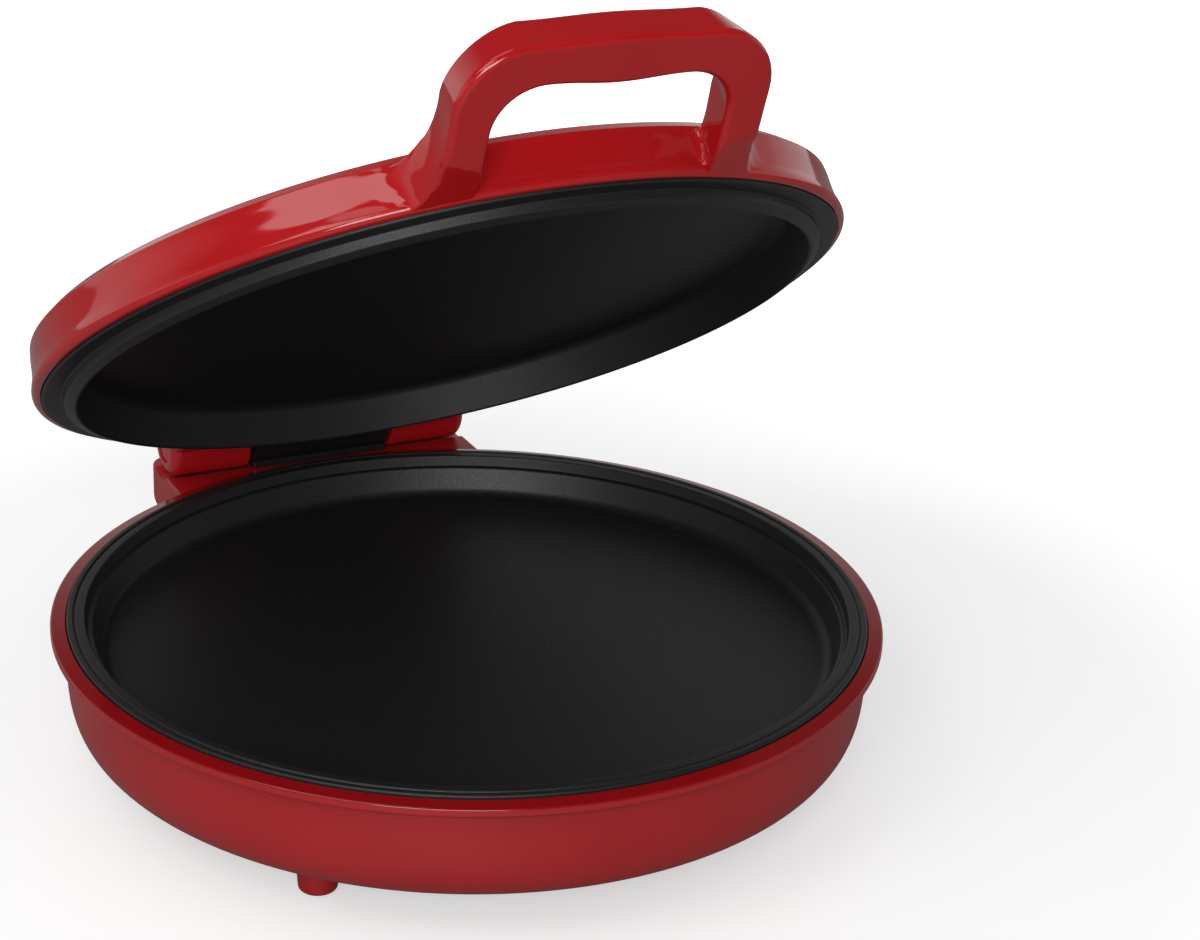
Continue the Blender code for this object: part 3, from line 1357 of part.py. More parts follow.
def handle_point(side, depth):
    """World place, lid shut, of a point on a leg's centre line at this depth."""
    place, turn = handle_place()
    local = Vector((side * HANDLE_MID_X, depth, HANDLE_SCREW_UP))
    return Vector(place) + Matrix.Rotation(turn[0], 3, "X") @ local


def into_handle():
    """Turns an object whose +Z is its open end so that it faces out of the handle's back."""
    return (HANDLE_TILT - math.pi / 2, 0, 0)


def screw_floor():
    return BACK_THICK - HANDLE_SCREW_HEAD_T - 2 * SEAT_GAP


def strip_screw_hole(body, side):
    floor = screw_floor()
    head = HANDLE_SCREW_HEAD_R + SEAT_GAP
    hole = HANDLE_SCREW_R + SEAT_GAP
    profile = [(0, OVERRUN + floor), (head, OVERRUN + floor), (head, floor), (hole, floor), (hole, -OVERRUN), (0, -OVERRUN)]
    mesh = turned_mesh("strip_screw_hole", profile, SMALL_STEPS)
    place = handle_point(side, GRIP_DEPTH - BACK_THICK)
    return add_object(sided("strip_screw_hole", side), mesh, body, None, place, into_handle())


def handle_screw_hole(body, side):
    mesh = rod_mesh("handle_screw_hole", HANDLE_SCREW_R + SEAT_GAP, -HANDLE_SCREW_LENGTH, OVERRUN / 2, SMALL_STEPS)
    place = handle_point(side, GRIP_DEPTH - BACK_THICK)
    return add_object(sided("handle_screw_hole", side), mesh, body, None, place, into_handle())


def handle_screws(body, steel):
    seat = screw_floor() + SEAT_GAP
    top = seat + HANDLE_SCREW_HEAD_T
    tip = SEAT_GAP - HANDLE_SCREW_LENGTH
    profile = [
        (0, top),
        (HANDLE_SCREW_HEAD_R, top),
        (HANDLE_SCREW_HEAD_R, seat),
        (HANDLE_SCREW_R, seat),
        (HANDLE_SCREW_R, tip),
        (0, tip),
    ]
    for side in (-1, 1):
        name = sided("handle_screw", side)
        place = handle_point(side, GRIP_DEPTH - BACK_THICK)
        add_object(name, turned_mesh(name, profile, SMALL_STEPS), body, steel, place, into_handle())


# Assembly
def build_base(body, paint):
    base_shell(body, paint["satin_red"])
    for corner in FOOT_CORNERS:
        foot_pad(body, *corner, paint["rubber"])
    lower_plate(body, paint["nonstick"])
    plate_screws(body, paint["steel"])
    heater(body, "lower_element", DISH_UNDER_Z, -1, paint["element"])
    element_clips(body, "lower_clip", DISH_UNDER_Z, -1, paint["steel"])
    lower_heat_shield(body, paint["sheet"])
    thermostat(body, "lower_thermostat", DISH_UNDER_Z, -1, paint["steel"])
    thermal_fuse(body, "lower_fuse", DISH_UNDER_Z, -1, paint["ceramic"])
    terminal_block(body, paint["ceramic"])
    mains_leads(body, paint["sleeve"])
    element_leads(body, paint["sleeve"])
    cord_gland(body, paint["black"])
    hinge_block(body, paint["black"])
    hinge_block_screws(body, paint["steel"])
    hinge_rod(body, paint["steel"])
    rod_clips(body, paint["steel"])


def build_lid(body, paint):
    lid_cover(body, paint["gloss_red"])
    handle_back_strip(body, "handle_back", 0, paint["gloss_red"])
    handle_screws(body, paint["steel"])
    hinge_bushes(body, paint["nylon"])
    hinge_caps(body, paint["gloss_red"])
    upper_plate(body, paint["nonstick"])
    heater(body, "upper_element", UPPER_BACK_Z, 1, paint["element"])
    element_clips(body, "upper_clip", UPPER_BACK_Z, 1, paint["steel"])
    upper_heat_shield(body, paint["sheet"])
    shield_screws(body, paint["steel"])
    thermostat(body, "upper_thermostat", UPPER_BACK_Z, 1, paint["steel"])
    thermal_fuse(body, "upper_fuse", UPPER_BACK_Z, 1, paint["ceramic"])
    lamp_lenses(body, (("power", paint["red_lens"], paint["ceramic"]), ("ready", paint["green_lens"], paint["ceramic"])))


def main():
    clear_scene()
    paint = {
        "gloss_red": make_material("gloss_red", "B01F22", 0.12),
        "satin_red": make_material("satin_red", "9A2A2E", 0.35),
        "nonstick": make_material("nonstick", "1B1B1C", 0.45),
        "black": make_material("black_plastic", "161617", 0.4),
        "rubber": make_material("black_rubber", "202020", 0.8),
        "steel": make_material("zinc_steel", "B8B9BA", 0.3, 1.0),
        "sheet": make_material("aluminised_sheet", "C2C4C6", 0.35, 1.0),
        "element": make_material("element_sheath", "6E6A64", 0.45, 1.0),
        "ceramic": make_material("ceramic", "E4DFD2", 0.5),
        "sleeve": make_material("glass_sleeve", "D8D4C8", 0.7),
        "nylon": make_material("nylon", "D9D6CE", 0.5),
        "red_lens": make_material("red_lens", "C81A14", 0.1, 0.0, 0.6),
        "green_lens": make_material("green_lens", "2E9A3C", 0.1, 0.0, 0.6),
    }
    base_place = Vector((0, BASE_AXIS_Y, 0))
    hinge = Vector((0, HINGE_Y, HINGE_Z))
    base_body = (make_frame("base_frame", base_place), Matrix.Identity(4))
    lid_body = (make_frame("lid_frame", base_place + hinge, -REST_OPEN), Matrix.Translation(-hinge))
    build_base(base_body, paint)
    build_lid(lid_body, paint)
    bpy.context.view_layer.update()


main()
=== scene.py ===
"""Electric countertop pizza maker: its visible pieces, finishes, camera and studio.

Sizes in the piece functions are millimetres from the bowl's axis and the worktop, with the
lid shut. BASE_PLACE and LID_PLACE carry them to the frame, where the lid stands open.
"""

import json
import math

import bmesh
import bpy
from mathutils import Matrix, Vector


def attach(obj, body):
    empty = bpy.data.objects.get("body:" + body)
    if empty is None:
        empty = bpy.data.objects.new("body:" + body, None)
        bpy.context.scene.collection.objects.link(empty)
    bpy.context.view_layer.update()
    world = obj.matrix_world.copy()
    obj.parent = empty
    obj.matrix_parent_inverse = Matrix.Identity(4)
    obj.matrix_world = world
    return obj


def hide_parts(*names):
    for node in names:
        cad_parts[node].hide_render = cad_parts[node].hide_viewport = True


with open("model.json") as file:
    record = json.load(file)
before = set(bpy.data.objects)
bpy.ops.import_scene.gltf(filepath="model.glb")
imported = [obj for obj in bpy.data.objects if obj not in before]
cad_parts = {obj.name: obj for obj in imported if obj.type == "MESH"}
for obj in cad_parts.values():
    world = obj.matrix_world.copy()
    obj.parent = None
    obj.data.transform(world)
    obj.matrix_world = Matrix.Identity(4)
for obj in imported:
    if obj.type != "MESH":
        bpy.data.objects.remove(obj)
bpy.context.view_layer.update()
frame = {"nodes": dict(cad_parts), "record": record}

MM = 0.001
LID_OPEN_DEGREES = 36.2
HINGE = Vector((0, 177.3, 71.9))
BOWL_AXIS = Vector((0, -17.5, 0))
BASE_PLACE = Matrix.Translation(BOWL_AXIS * MM)
LID_PLACE = (
    Matrix.Translation((BOWL_AXIS + HINGE) * MM)
    @ Matrix.Rotation(math.radians(-LID_OPEN_DEGREES), 4, "X")
    @ Matrix.Translation(-HINGE * MM)
)
LID_SHUT = (LID_PLACE @ Matrix.Scale(MM, 4)).inverted()
PLACE = {"base": BASE_PLACE, "lid": LID_PLACE}
SIDES = {"left": -1, "right": 1}
SAME_POINT = 0.01 * MM


# Mesh helpers
def arc(centre, radius, start, end, steps):
    """Points of an arc in the plane, angles in degrees."""
    turns = [math.radians(start + (end - start) * k / steps) for k in range(steps + 1)]
    return [(centre[0] + radius * math.cos(a), centre[1] + radius * math.sin(a)) for a in turns]


def quarter(steps):
    """Angles of a quarter turn, in radians."""
    return [math.pi / 2 / steps * k for k in range(steps + 1)]


def eased(corners, closed=False, steps=5):
    """A line through (u, v, radius) corners, each corner rounded by its radius."""
    line = []
    count = len(corners)
    longest = 0.49
    for i, (u, v, radius) in enumerate(corners):
        here = Vector((u, v))
        if radius == 0 or (not closed and i in (0, count - 1)):
            line.append(here)
            continue
        before = Vector(corners[i - 1][:2]) - here
        after = Vector(corners[(i + 1) % count][:2]) - here
        half = before.angle(after) / 2
        back = min(radius / math.tan(half), longest * before.length, longest * after.length)
        start, end = here + before.normalized() * back, here + after.normalized() * back
        inward = (before.normalized() + after.normalized()).normalized()
        middle = here + inward * back / math.cos(half)
        sweep = (start - middle).angle_signed(end - middle)
        for k in range(steps + 1):
            spoke = start - middle
            spoke.rotate(Matrix.Rotation(-sweep * k / steps, 2))
            line.append(middle + spoke)
    return [tuple(point) for point in line]


def flowing(points, per_span):
    """A smooth line that passes through every point."""
    points = [Vector(p) for p in points]
    ends = [points[0] * 2 - points[1], *points, points[-1] * 2 - points[-2]]
    line = []
    for a, b, c, d in zip(ends, ends[1:], ends[2:], ends[3:]):
        for k in range(per_span):
            t = k / per_span
            square = (a * 2 - b * 5 + c * 4 - d) * t**2
            cube = (b * 3 - a - c * 3 + d) * t**3
            line.append((b * 2 + (c - a) * t + square + cube) / 2)
    return [tuple(p) for p in [*line, points[-1]]]


def turned(profile, steps=192, turn=None, hollow=False):
    """Turns (radius, height) points round the upright axis, or round turn's axis.

    A hollow profile is a loop that is joined from its last point to its first.
    """
    turn = turn or Matrix.Identity(4)
    bm = bmesh.new()
    rings = []
    for radius, height in profile:
        if radius == 0:
            rings.append([bm.verts.new(turn @ Vector((0, 0, height)))])
            continue
        angles = [2 * math.pi * k / steps for k in range(steps)]
        circle = [Vector((radius * math.cos(a), radius * math.sin(a), height)) for a in angles]
        rings.append([bm.verts.new(turn @ point) for point in circle])
    pairs = list(zip(rings, rings[1:]))
    if hollow:
        pairs.append((rings[-1], rings[0]))
    for low, high in pairs:
        for k in range(steps):
            after = (k + 1) % steps
            corners = ((low, k), (low, after), (high, after), (high, k))
            face = [ring[n % len(ring)] for ring, n in corners]
            face = [v for n, v in enumerate(face) if v not in face[:n]]
            if len(face) > 2:
                bm.faces.new(face)
    return bm


def skinned(sections):
    """Closed skin through sections of equally many points."""
    bm = bmesh.new()
    rings = [[bm.verts.new(p) for p in section] for section in sections]
    for ring, following in zip(rings, rings[1:]):
        for k in range(len(ring)):
            after = (k + 1) % len(ring)
            bm.faces.new((ring[k], ring[after], following[after], following[k]))
    bm.faces.new(rings[0])
    bm.faces.new(rings[-1])
    return bm


def meshed(name, bm, body):
    """Turns millimetres with the lid shut into the frame's metres at rest."""
    bmesh.ops.recalc_face_normals(bm, faces=bm.faces)
    bmesh.ops.transform(bm, matrix=PLACE[body] @ Matrix.Scale(MM, 4), verts=bm.verts)
    mesh = bpy.data.meshes.new(name)
    bm.to_mesh(mesh)
    bm.free()
    mesh.shade_smooth()
    obj = bpy.data.objects.new(name, mesh)
    bpy.context.scene.collection.objects.link(obj)
    return obj


def bar(name, body, steps, turn, start, *lengths):
    """Round bar, stepped, that adds or cuts. Each length is (radius, height that it reaches)."""
    profile = [(0, start)]
    for radius, end in lengths:
        profile += [(radius, start), (radius, end)]
        start = end
    return meshed(name, turned([*profile, (0, start)], steps, turn), body)


def made(name, bm, body, slot, *nodes, soften=40):
    """A visible piece that rides on its body."""
    piece = meshed(name, bm, body)
    piece.data.set_sharp_from_angle(angle=math.radians(soften))
    piece.data.materials.append(paint[slot])
    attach(piece, body)
    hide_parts(*nodes)
    return piece


def settle(piece):
    """Applies every modifier of a piece."""
    bpy.context.view_layer.update()
    shaped = piece.evaluated_get(bpy.context.evaluated_depsgraph_get())
    mesh = bpy.data.meshes.new_from_object(shaped)
    piece.modifiers.clear()
    piece.data = mesh
    return piece


def cut(piece, operation, *tools):
    """Joins or cuts with other shapes, applies that, and throws the tools away."""
    for tool in tools:
        step = piece.modifiers.new("cut", "BOOLEAN")
        step.operation = operation
        step.object = tool
        step.solver = "EXACT"
    settle(piece)
    for tool in tools:
        bpy.data.objects.remove(tool, do_unlink=True)
    return piece


def crisp(piece, degrees):
    """Smooth shading that breaks at edges sharper than this, led by the larger faces."""
    piece.data.shade_smooth()
    piece.data.set_sharp_from_angle(angle=math.radians(degrees))
    weighted = piece.modifiers.new("shading", "WEIGHTED_NORMAL")
    weighted.keep_sharp = True
    return settle(piece)


def opened(piece):
    """The piece's mesh for editing, with points that lie on each other made one."""
    bm = bmesh.new()
    bm.from_mesh(piece.data)
    bmesh.ops.remove_doubles(bm, verts=bm.verts, dist=SAME_POINT)
    return bm


def round_edges(piece, width, chosen, degrees=25):
    """Rounds the sharp edges whose points, lid shut and in millimetres, are all chosen."""
    bm = opened(piece)
    weights = bm.edges.layers.float.new("bevel_weight_edge")
    for edge in bm.edges:
        if len(edge.link_faces) == 2 and edge.calc_face_angle(0) > math.radians(degrees):
            if all(chosen(LID_SHUT @ v.co) for v in edge.verts):
                edge[weights] = 1.0
    bm.to_mesh(piece.data)
    bm.free()
    bevel = piece.modifiers.new("rounding", "BEVEL")
    bevel.width = width * MM
    bevel.segments = 4
    bevel.limit_method = "WEIGHT"
    bevel.use_clamp_overlap = False
    return settle(piece)


# Materials
def linear(hex_colour):
    """sRGB hex as the linear colour that the shader works in."""
    channels = [int(hex_colour[i : i + 2], 16) / 255 for i in (0, 2, 4)]
    curve = [c / 12.92 if c <= 0.04045 else ((c + 0.055) / 1.055) ** 2.4 for c in channels]
    return (*curve, 1.0)


def feed(tree, target, **inputs):
    """Gives a node's inputs values or links. _ stands for a space in an input's name."""
    for key, value in inputs.items():
        socket = target.inputs[key.replace("_", " ")]
        if isinstance(value, bpy.types.NodeSocket):
            tree.links.new(value, socket)
        else:
            socket.default_value = value
    return target


def node(tree, kind, settings=None, **inputs):
    """Adds a node, with its settings, and values or links for its inputs."""
    added = tree.nodes.new(kind)
    for key, value in (settings or {}).items():
        setattr(added, key, value)
    return feed(tree, added, **inputs)


def sum_of(tree, operation, first, second):
    """Two links put together by a sum."""
    added = node(tree, "ShaderNodeMath", {"operation": operation})
    tree.links.new(first, added.inputs[0])
    tree.links.new(second, added.inputs[1])
    return added.outputs["Value"]


def blend(tree, factor, first, second):
    """Colour between two colours or links."""
    mixed = node(tree, "ShaderNodeMix", {"data_type": "RGBA"}, Factor=factor, A=first, B=second)
    return mixed.outputs["Result"]


def spread(tree, value, low, high, start=0.0, end=1.0):
    """Maps a value between start and end to a value between low and high."""
    ends = {"From_Min": start, "From_Max": end, "To_Min": low, "To_Max": high}
    return node(tree, "ShaderNodeMapRange", Value=value, **ends).outputs["Result"]


def noise(tree, length_mm, **inputs):
    """Noise whose swells are this long on the object."""
    place = node(tree, "ShaderNodeTexCoord").outputs["Object"]
    scale = 1 / (length_mm * MM)
    return node(tree, "ShaderNodeTexNoise", Vector=place, Scale=scale, **inputs).outputs["Fac"]


def relief(tree, height, strength, depth_mm):
    """Bump of this depth."""
    bump = node(
        tree, "ShaderNodeBump", Height=height, Strength=strength, Distance=depth_mm * MM
    )
    return bump.outputs["Normal"]


def new_material(name):
    material = bpy.data.materials.new(name)
    material.use_nodes = True
    tree = material.node_tree
    return material, tree, tree.nodes["Principled BSDF"]


ABS_IOR = 1.53
POLISHED_ROUGHNESS = {"gloss": 0.09, "flange": 0.10}


def moulded_gloss_abs():
    """ABS moulded in a polished tool: deep red and mirror-like, with a faint slow waviness."""
    material, tree, shader = new_material("gloss_red_abs_moulded")
    # Sink and flow leave swells about 25 mm long
    swell = noise(tree, 25.0, Detail=1.0)
    feed(
        tree,
        shader,
        Base_Color=blend(tree, swell, linear("A81418"), linear("B01A1E")),
        Roughness=POLISHED_ROUGHNESS["gloss"],
        IOR=ABS_IOR,
        Normal=relief(tree, swell, 0.06, 1.5),
    )
    return material


def moulded_satin_abs():
    """ABS from a finely spark-eroded tool: the same red, with a soft broad shine."""
    material, tree, shader = new_material("satin_red_abs_moulded")
    # Spark grain is about 0.1 mm, drawn at 0.5 mm so that it shows
    grain = noise(tree, 0.5, Detail=2.0)
    swell = noise(tree, 30.0, Detail=1.0)
    tone = blend(tree, swell, linear("9E171B"), linear("A81C20"))
    rough = spread(tree, grain, 0.30, 0.42)
    # The flange's top, above 59.6 mm, comes from the polished half of the tool. Its colour there
    # is darkened to 860D12 as painted shade and painted reflection of the lid's dark underside
    # above it
    place = node(tree, "ShaderNodeTexCoord").outputs["Object"]
    height = node(tree, "ShaderNodeSeparateXYZ", Vector=place).outputs["Z"]
    polished_top_and_painted_shade = spread(tree, height, 0.0, 1.0, 59.4 * MM, 59.8 * MM)
    shine = node(tree, "ShaderNodeMix", Factor=polished_top_and_painted_shade, A=rough, B=POLISHED_ROUGHNESS["flange"])
    feed(
        tree,
        shader,
        # Painted shade: the flange's top is darkened to 860D12 for the lid's dark underside above
        # it
        Base_Color=blend(tree, polished_top_and_painted_shade, tone, linear("860D12")),
        Roughness=shine.outputs["Result"],
        IOR=ABS_IOR,
        Normal=relief(tree, grain, 0.10, 0.2),
    )
    return material


def ptfe_on_cast_aluminium():
    """Black PTFE sprayed on a blasted casting: fine pebbled grain, with a few paler specks."""
    material, tree, shader = new_material("black_ptfe_on_cast_aluminium")
    # Blasting grit leaves pits about 0.4 mm across, drawn at 0.8 mm so that they show
    pits = noise(tree, 0.8, Detail=3.0, Roughness=0.6)
    # Paler specks up to 0.7 mm across, one in each cell of 2.2 mm
    place = node(tree, "ShaderNodeTexCoord").outputs["Object"]
    cells = node(tree, "ShaderNodeTexVoronoi", Vector=place, Scale=1 / (2.2 * MM))
    speck = spread(tree, cells.outputs["Distance"], 1.0, 0.0, 0.06, 0.16)
    feed(
        tree,
        shader,
        Base_Color=blend(tree, speck, linear("1A1A1B"), linear("363638")),
        Roughness=spread(tree, pits, 0.34, 0.56),
        Normal=relief(tree, pits, 0.35, 0.3),
        Specular_IOR_Level=0.5,
    )
    return material


def plain_finish(name, colour, second, grain_mm, rough, bump_mm, metallic=0.0, ior=1.5):
    """A finish with a fine grain that varies its colour, shine and surface a little."""
    material, tree, shader = new_material(name)
    grain = noise(tree, grain_mm, Detail=3.0)
    feed(
        tree,
        shader,
        Base_Color=blend(tree, grain, linear(colour), linear(second)),
        Roughness=spread(tree, grain, *rough),
        Normal=relief(tree, grain, 0.3, bump_mm),
        Metallic=metallic,
    )
    if not metallic:
        feed(tree, shader, IOR=ior)
    return material


def lens_finish(name, colour, second):
    """Clear moulded polycarbonate, dyed through."""
    return plain_finish(name, colour, second, 3.0, (0.06, 0.12), 0.02, ior=1.58)


paint = {
    "gloss_red": moulded_gloss_abs(),
    "satin_red": moulded_satin_abs(),
    "nonstick": ptfe_on_cast_aluminium(),
    # Name, two colours, grain in mm, roughness, bump in mm, metallic
    "black_plastic": plain_finish(
        "black_pa66_moulded", "121213", "1A1A1B", 0.6, (0.32, 0.46), 0.1
    ),
    "rubber": plain_finish("nitrile_rubber_pressed", "161616", "1E1E1E", 0.8, (0.7, 0.85), 0.1),
    "steel": plain_finish("zinc_plated_steel", "B4B6B8", "C6C7C8", 1.2, (0.24, 0.38), 0.05, 1.0),
    "sheet": plain_finish(
        "aluminised_steel_sheet", "B9BABB", "CFD0D1", 3.0, (0.28, 0.45), 0.05, 1.0
    ),
    "element": plain_finish(
        "annealed_steel_sheath", "5F5A55", "7A746C", 2.0, (0.4, 0.6), 0.05, 1.0
    ),
    "ceramic": plain_finish("steatite_fired", "DDD8CB", "E8E4DA", 0.7, (0.45, 0.6), 0.1),
    "sleeve": plain_finish("glass_braid_sleeve", "CFCBC0", "E2DFD6", 0.6, (0.65, 0.85), 0.2),
    "nylon": plain_finish("natural_nylon_moulded", "D3CFC4", "DDD9CF", 1.5, (0.4, 0.55), 0.05),
    "red_lens": lens_finish("red_polycarbonate_lens", "B3120D", "C21A14"),
    "green_lens": lens_finish("green_polycarbonate_lens", "1F7A2C", "2A8E38"),
}
for part in frame["record"]["subparts"]:
    carried = frame["nodes"][part["node"]].data
    carried.materials.clear()
    carried.materials.append(paint[part["material_slot"]])


# Base shell
BOWL_FLOOR_Z, BOWL_TOP_Z, RIM_Z = 12.7, 53.8, 61.0
BOWL_FLAT_R, BOWL_CURVE_R, BOWL_R = 60, 110.0, 160.3
BOWL_POWER = 2 / 4.5
# (radius, height, rounding), from the bowl's side to the recess
FLANGE = [
    (BOWL_R, BOWL_TOP_Z, 0), (160.5, 55.3, 1.4), (165.2, 56.5, 0.6), (166.0, 57.4, 0.7),
    (166.0, 60.2, 0.8), (159.9, RIM_Z, 0),
]
ROOM_FLOOR_Z, ROOM_TOP_Z, ROOM_R = 15.3, 56.7, 157.7
# (radius, height) of the wall beside the pan's rim
RECESS = [(160.0, ROOM_TOP_Z), (160.0, 60.6), (160.15, 60.9), (160.5, 61.1)]
ABOVE_RIM_Z = 66.0

HOUSING_HALF_W, HOUSING_FRONT, HOUSING_BACK = 71.5, 119.3, 196.0
HOUSING_CORNER_R, HOUSING_EDGE_R, HOUSING_EDGE_Z = 9.0, 1.2, 58.3
# (height, back, inset) of the housing below its rounded top edge
HOUSING_LEVELS = [
    (27.0, 152.0, 1.2), (40.4, 188.9, 0.1), (41.8, 192.9, 0), (43.0, 195.2, 0),
    (44.6, HOUSING_BACK, 0), (58.2, HOUSING_BACK, 0),
]
POCKET = {"half": 16, "front": 130.3, "back": 193, "low": 46.5, "high": 55.9}

FOOT_X, FOOT_Y = 98.9, 87.5
FEET = [(FOOT_X * across, FOOT_Y * along) for across in (-1, 1) for along in (-1, 1)]
FOOT_ROOT_Z = 17.9
# (radius, height, rounding), from the root to the middle of the tip
FOOT_PEG = [(8.7, FOOT_ROOT_Z, 0), (7.3, 0.8, 1.7), (0, 0.8, 0)]

POST_R, POST_DEGREES = 122.0, (30, 150, 210, 330)
POSTS = [
    (POST_R * math.cos(math.radians(a)), POST_R * math.sin(math.radians(a)))
    for a in POST_DEGREES
]
GLAND = Vector((0, HOUSING_BACK, 51.2))
VENTS, VENT_R, VENT_LENGTH, VENT_WIDTH, VENT_HEIGHTS = 8, 55.0, 22.0, 3.6, (8.0, 19.0)
KNUCKLE_SCREW = Vector((21.0, 191.0, 0))
# Bars that cut or add: the height where each starts, then (radius, height that it reaches)
GROOVE = (32.0, (14.8, 77.5))
GLAND_HOLE = (-4, (4.3, 7))
PAD_RECESS = (-4, (4.7, 2.9))
POST = (37.2, (6.0, 29.3), (8.0, 14.0))
KNUCKLE_SCREW_HOLE = (64, (1.6, 55.2))
COUNTERBORE = (40, (2.1, 17.3), (4.2, 6))


def upright(x, y):
    return Matrix.Translation((x, y, 0))


def along_rod(side):
    """From upright to outward along the hinge rod on this side."""
    return Matrix.Translation(HINGE) @ Matrix.Rotation(side * math.pi / 2, 4, "Y")


def knuckle_screw_turn(side):
    return upright(side * KNUCKLE_SCREW.x, KNUCKLE_SCREW.y)


def bowl_side(wall_r, top_z, bottom_z, steps):
    """The bowl's side from floor to top: nearly upright above, a tight round below."""
    line = []
    for k in range(steps + 1):
        a = math.pi / 2 * (1 - k / steps)
        across, down = max(math.cos(a), 0) ** BOWL_POWER, max(math.sin(a), 0) ** BOWL_POWER
        radius = BOWL_CURVE_R + (wall_r - BOWL_CURVE_R) * across
        line.append((radius, top_z - (top_z - bottom_z) * down))
    return line


def bowl_solid():
    side = bowl_side(BOWL_R, BOWL_TOP_Z, BOWL_FLOOR_Z, 44)
    floor = [(0, BOWL_FLOOR_Z), (BOWL_FLAT_R, BOWL_FLOOR_Z)]
    return turned([*floor, *side[:-1], *eased(FLANGE, steps=4), (0, RIM_Z)])


def bowl_room():
    """Room inside the bowl, and the recess that the pan's rim drops into."""
    side = bowl_side(ROOM_R, ROOM_TOP_Z, ROOM_FLOOR_Z, 12)
    floor = [(0, ROOM_FLOOR_Z), (BOWL_FLAT_R, ROOM_FLOOR_Z)]
    return turned([*floor, *side, *RECESS, (RECESS[-1][0], ABOVE_RIM_Z), (0, ABOVE_RIM_Z)])


def housing_solid():
    """Hinge housing: upright above, sloping in towards the bowl below."""
    levels = list(HOUSING_LEVELS)
    for a in quarter(4):
        inset = HOUSING_EDGE_R * (1 - math.cos(a))
        levels.append((HOUSING_EDGE_Z + HOUSING_EDGE_R * math.sin(a), HOUSING_BACK - inset, inset))
    sections = []
    for z, back, inset in levels:
        half = HOUSING_HALF_W - inset
        corner = HOUSING_CORNER_R - inset
        front = [(-half, HOUSING_FRONT, 0), (half, HOUSING_FRONT, 0)]
        plan = eased([*front, (half, back, corner), (-half, back, corner)], closed=True, steps=8)
        sections.append([(x, y, z) for x, y in plan])
    return skinned(sections)


def vent_solid(angle):
    """A slot with round ends, its length pointing away from the bowl's axis."""
    half = VENT_LENGTH / 2 - VENT_WIDTH / 2
    plan = arc((half, 0), VENT_WIDTH / 2, -90, 90, 8) + arc((-half, 0), VENT_WIDTH / 2, 90, 270, 8)
    turn = Matrix.Rotation(angle, 4, "Z") @ Matrix.Translation((VENT_R, 0, 0))
    return skinned([[turn @ Vector((x, y, z)) for x, y in plan] for z in VENT_HEIGHTS])


def pocket_solid():
    """Pocket in the housing for the leads, under the knuckle."""
    x, front, back = POCKET["half"], POCKET["front"], POCKET["back"]
    plan = ((-x, front), (x, front), (x, back), (-x, back))
    return skinned([[(*p, z) for p in plan] for z in (POCKET["low"], POCKET["high"])])


def foot_solid(x, y):
    return turned([(0, FOOT_ROOT_Z), *eased(FOOT_PEG, steps=5)], 48, upright(x, y))


def base_bowl():
    shell = made("base_bowl", bowl_solid(), "base", "satin_red", "base_shell")
    tools = [meshed("housing", housing_solid(), "base")]
    tools += [meshed("peg", foot_solid(x, y), "base") for x, y in FEET]
    cut(shell, "UNION", *tools)

    tools = [meshed("room", bowl_room(), "base"), meshed("pocket", pocket_solid(), "base")]
    for side in SIDES.values():
        tools.append(bar("groove", "base", 96, along_rod(side), *GROOVE))
    backward = Matrix.Translation(GLAND) @ Matrix.Rotation(math.pi / 2, 4, "X")
    tools.append(bar("gland_hole", "base", 48, backward, *GLAND_HOLE))
    for x, y in FEET:
        tools.append(bar("pad_recess", "base", 32, upright(x, y), *PAD_RECESS))
    for k in range(VENTS):
        tools.append(meshed("vent", vent_solid(2 * math.pi / VENTS * k), "base"))
    cut(shell, "DIFFERENCE", *tools)

    cut(shell, "UNION", *[bar("post", "base", 32, upright(*p), *POST) for p in POSTS])
    tools = []
    for side in SIDES.values():
        turn = knuckle_screw_turn(side)
        tools.append(bar("screw_hole", "base", 24, turn, *KNUCKLE_SCREW_HOLE))
    tools += [bar("counterbore", "base", 32, upright(*p), *COUNTERBORE) for p in POSTS]
    cut(shell, "DIFFERENCE", *tools)
    return crisp(shell, 35)


base_bowl()


# (radius, height, rounding): the hollow, the two ridges of the rim and its outer edge
LOWER_PAN_FACE = [
    (0, 46.2, 0), (120, 46.2, 0), (145.4, 46.2, 5.0), (149.5, 57.6, 0.9), (151.6, 57.8, 0.5),
    (152.5, 62.2, 0.7), (156.1, 62.2, 0.7), (156.7, 61.2, 0.4), (157.3, 62.2, 0.7),
    (159.7, 62.2, 0.8), (159.7, 57.0, 0.3), (156.9, 57.0, 0.2),
]
LOWER_PAN_UNDER = [(152.4, 55.0, 1.0), (149.0, 44.5, 4.0), (143.8, 43.2, 2.0), (0, 43.2, 0)]
LOWER_BOSS = (44.5, (5.5, 37.5), (2.1, 41.8))


def lower_pan():
    """Cast pan: two low ridges on its rim, a sloping wall and the flat floor."""
    solid = turned(eased(LOWER_PAN_FACE + LOWER_PAN_UNDER))
    pan = made("lower_pan", solid, "base", "nonstick", "lower_plate", soften=60)
    tools = [bar("boss", "base", 32, upright(*p), *LOWER_BOSS) for p in POSTS]
    return crisp(cut(pan, "UNION", *tools), 60)


lower_pan()


KNUCKLE_R, KNUCKLE_HALF_W, KNUCKLE_EDGE_R = 13.2, 32.0, 1.2
KNUCKLE_FRONT, KNUCKLE_BACK = 166.4, 193.8
KNUCKLE_FOOT_Z, KNUCKLE_FOOT_TOP_Z = 59.8, 62.8
ROD_BORE = (40, (3.3, -40))
SCREW_SEAT = (70, (2.6, 62.5), (1.6, 55))


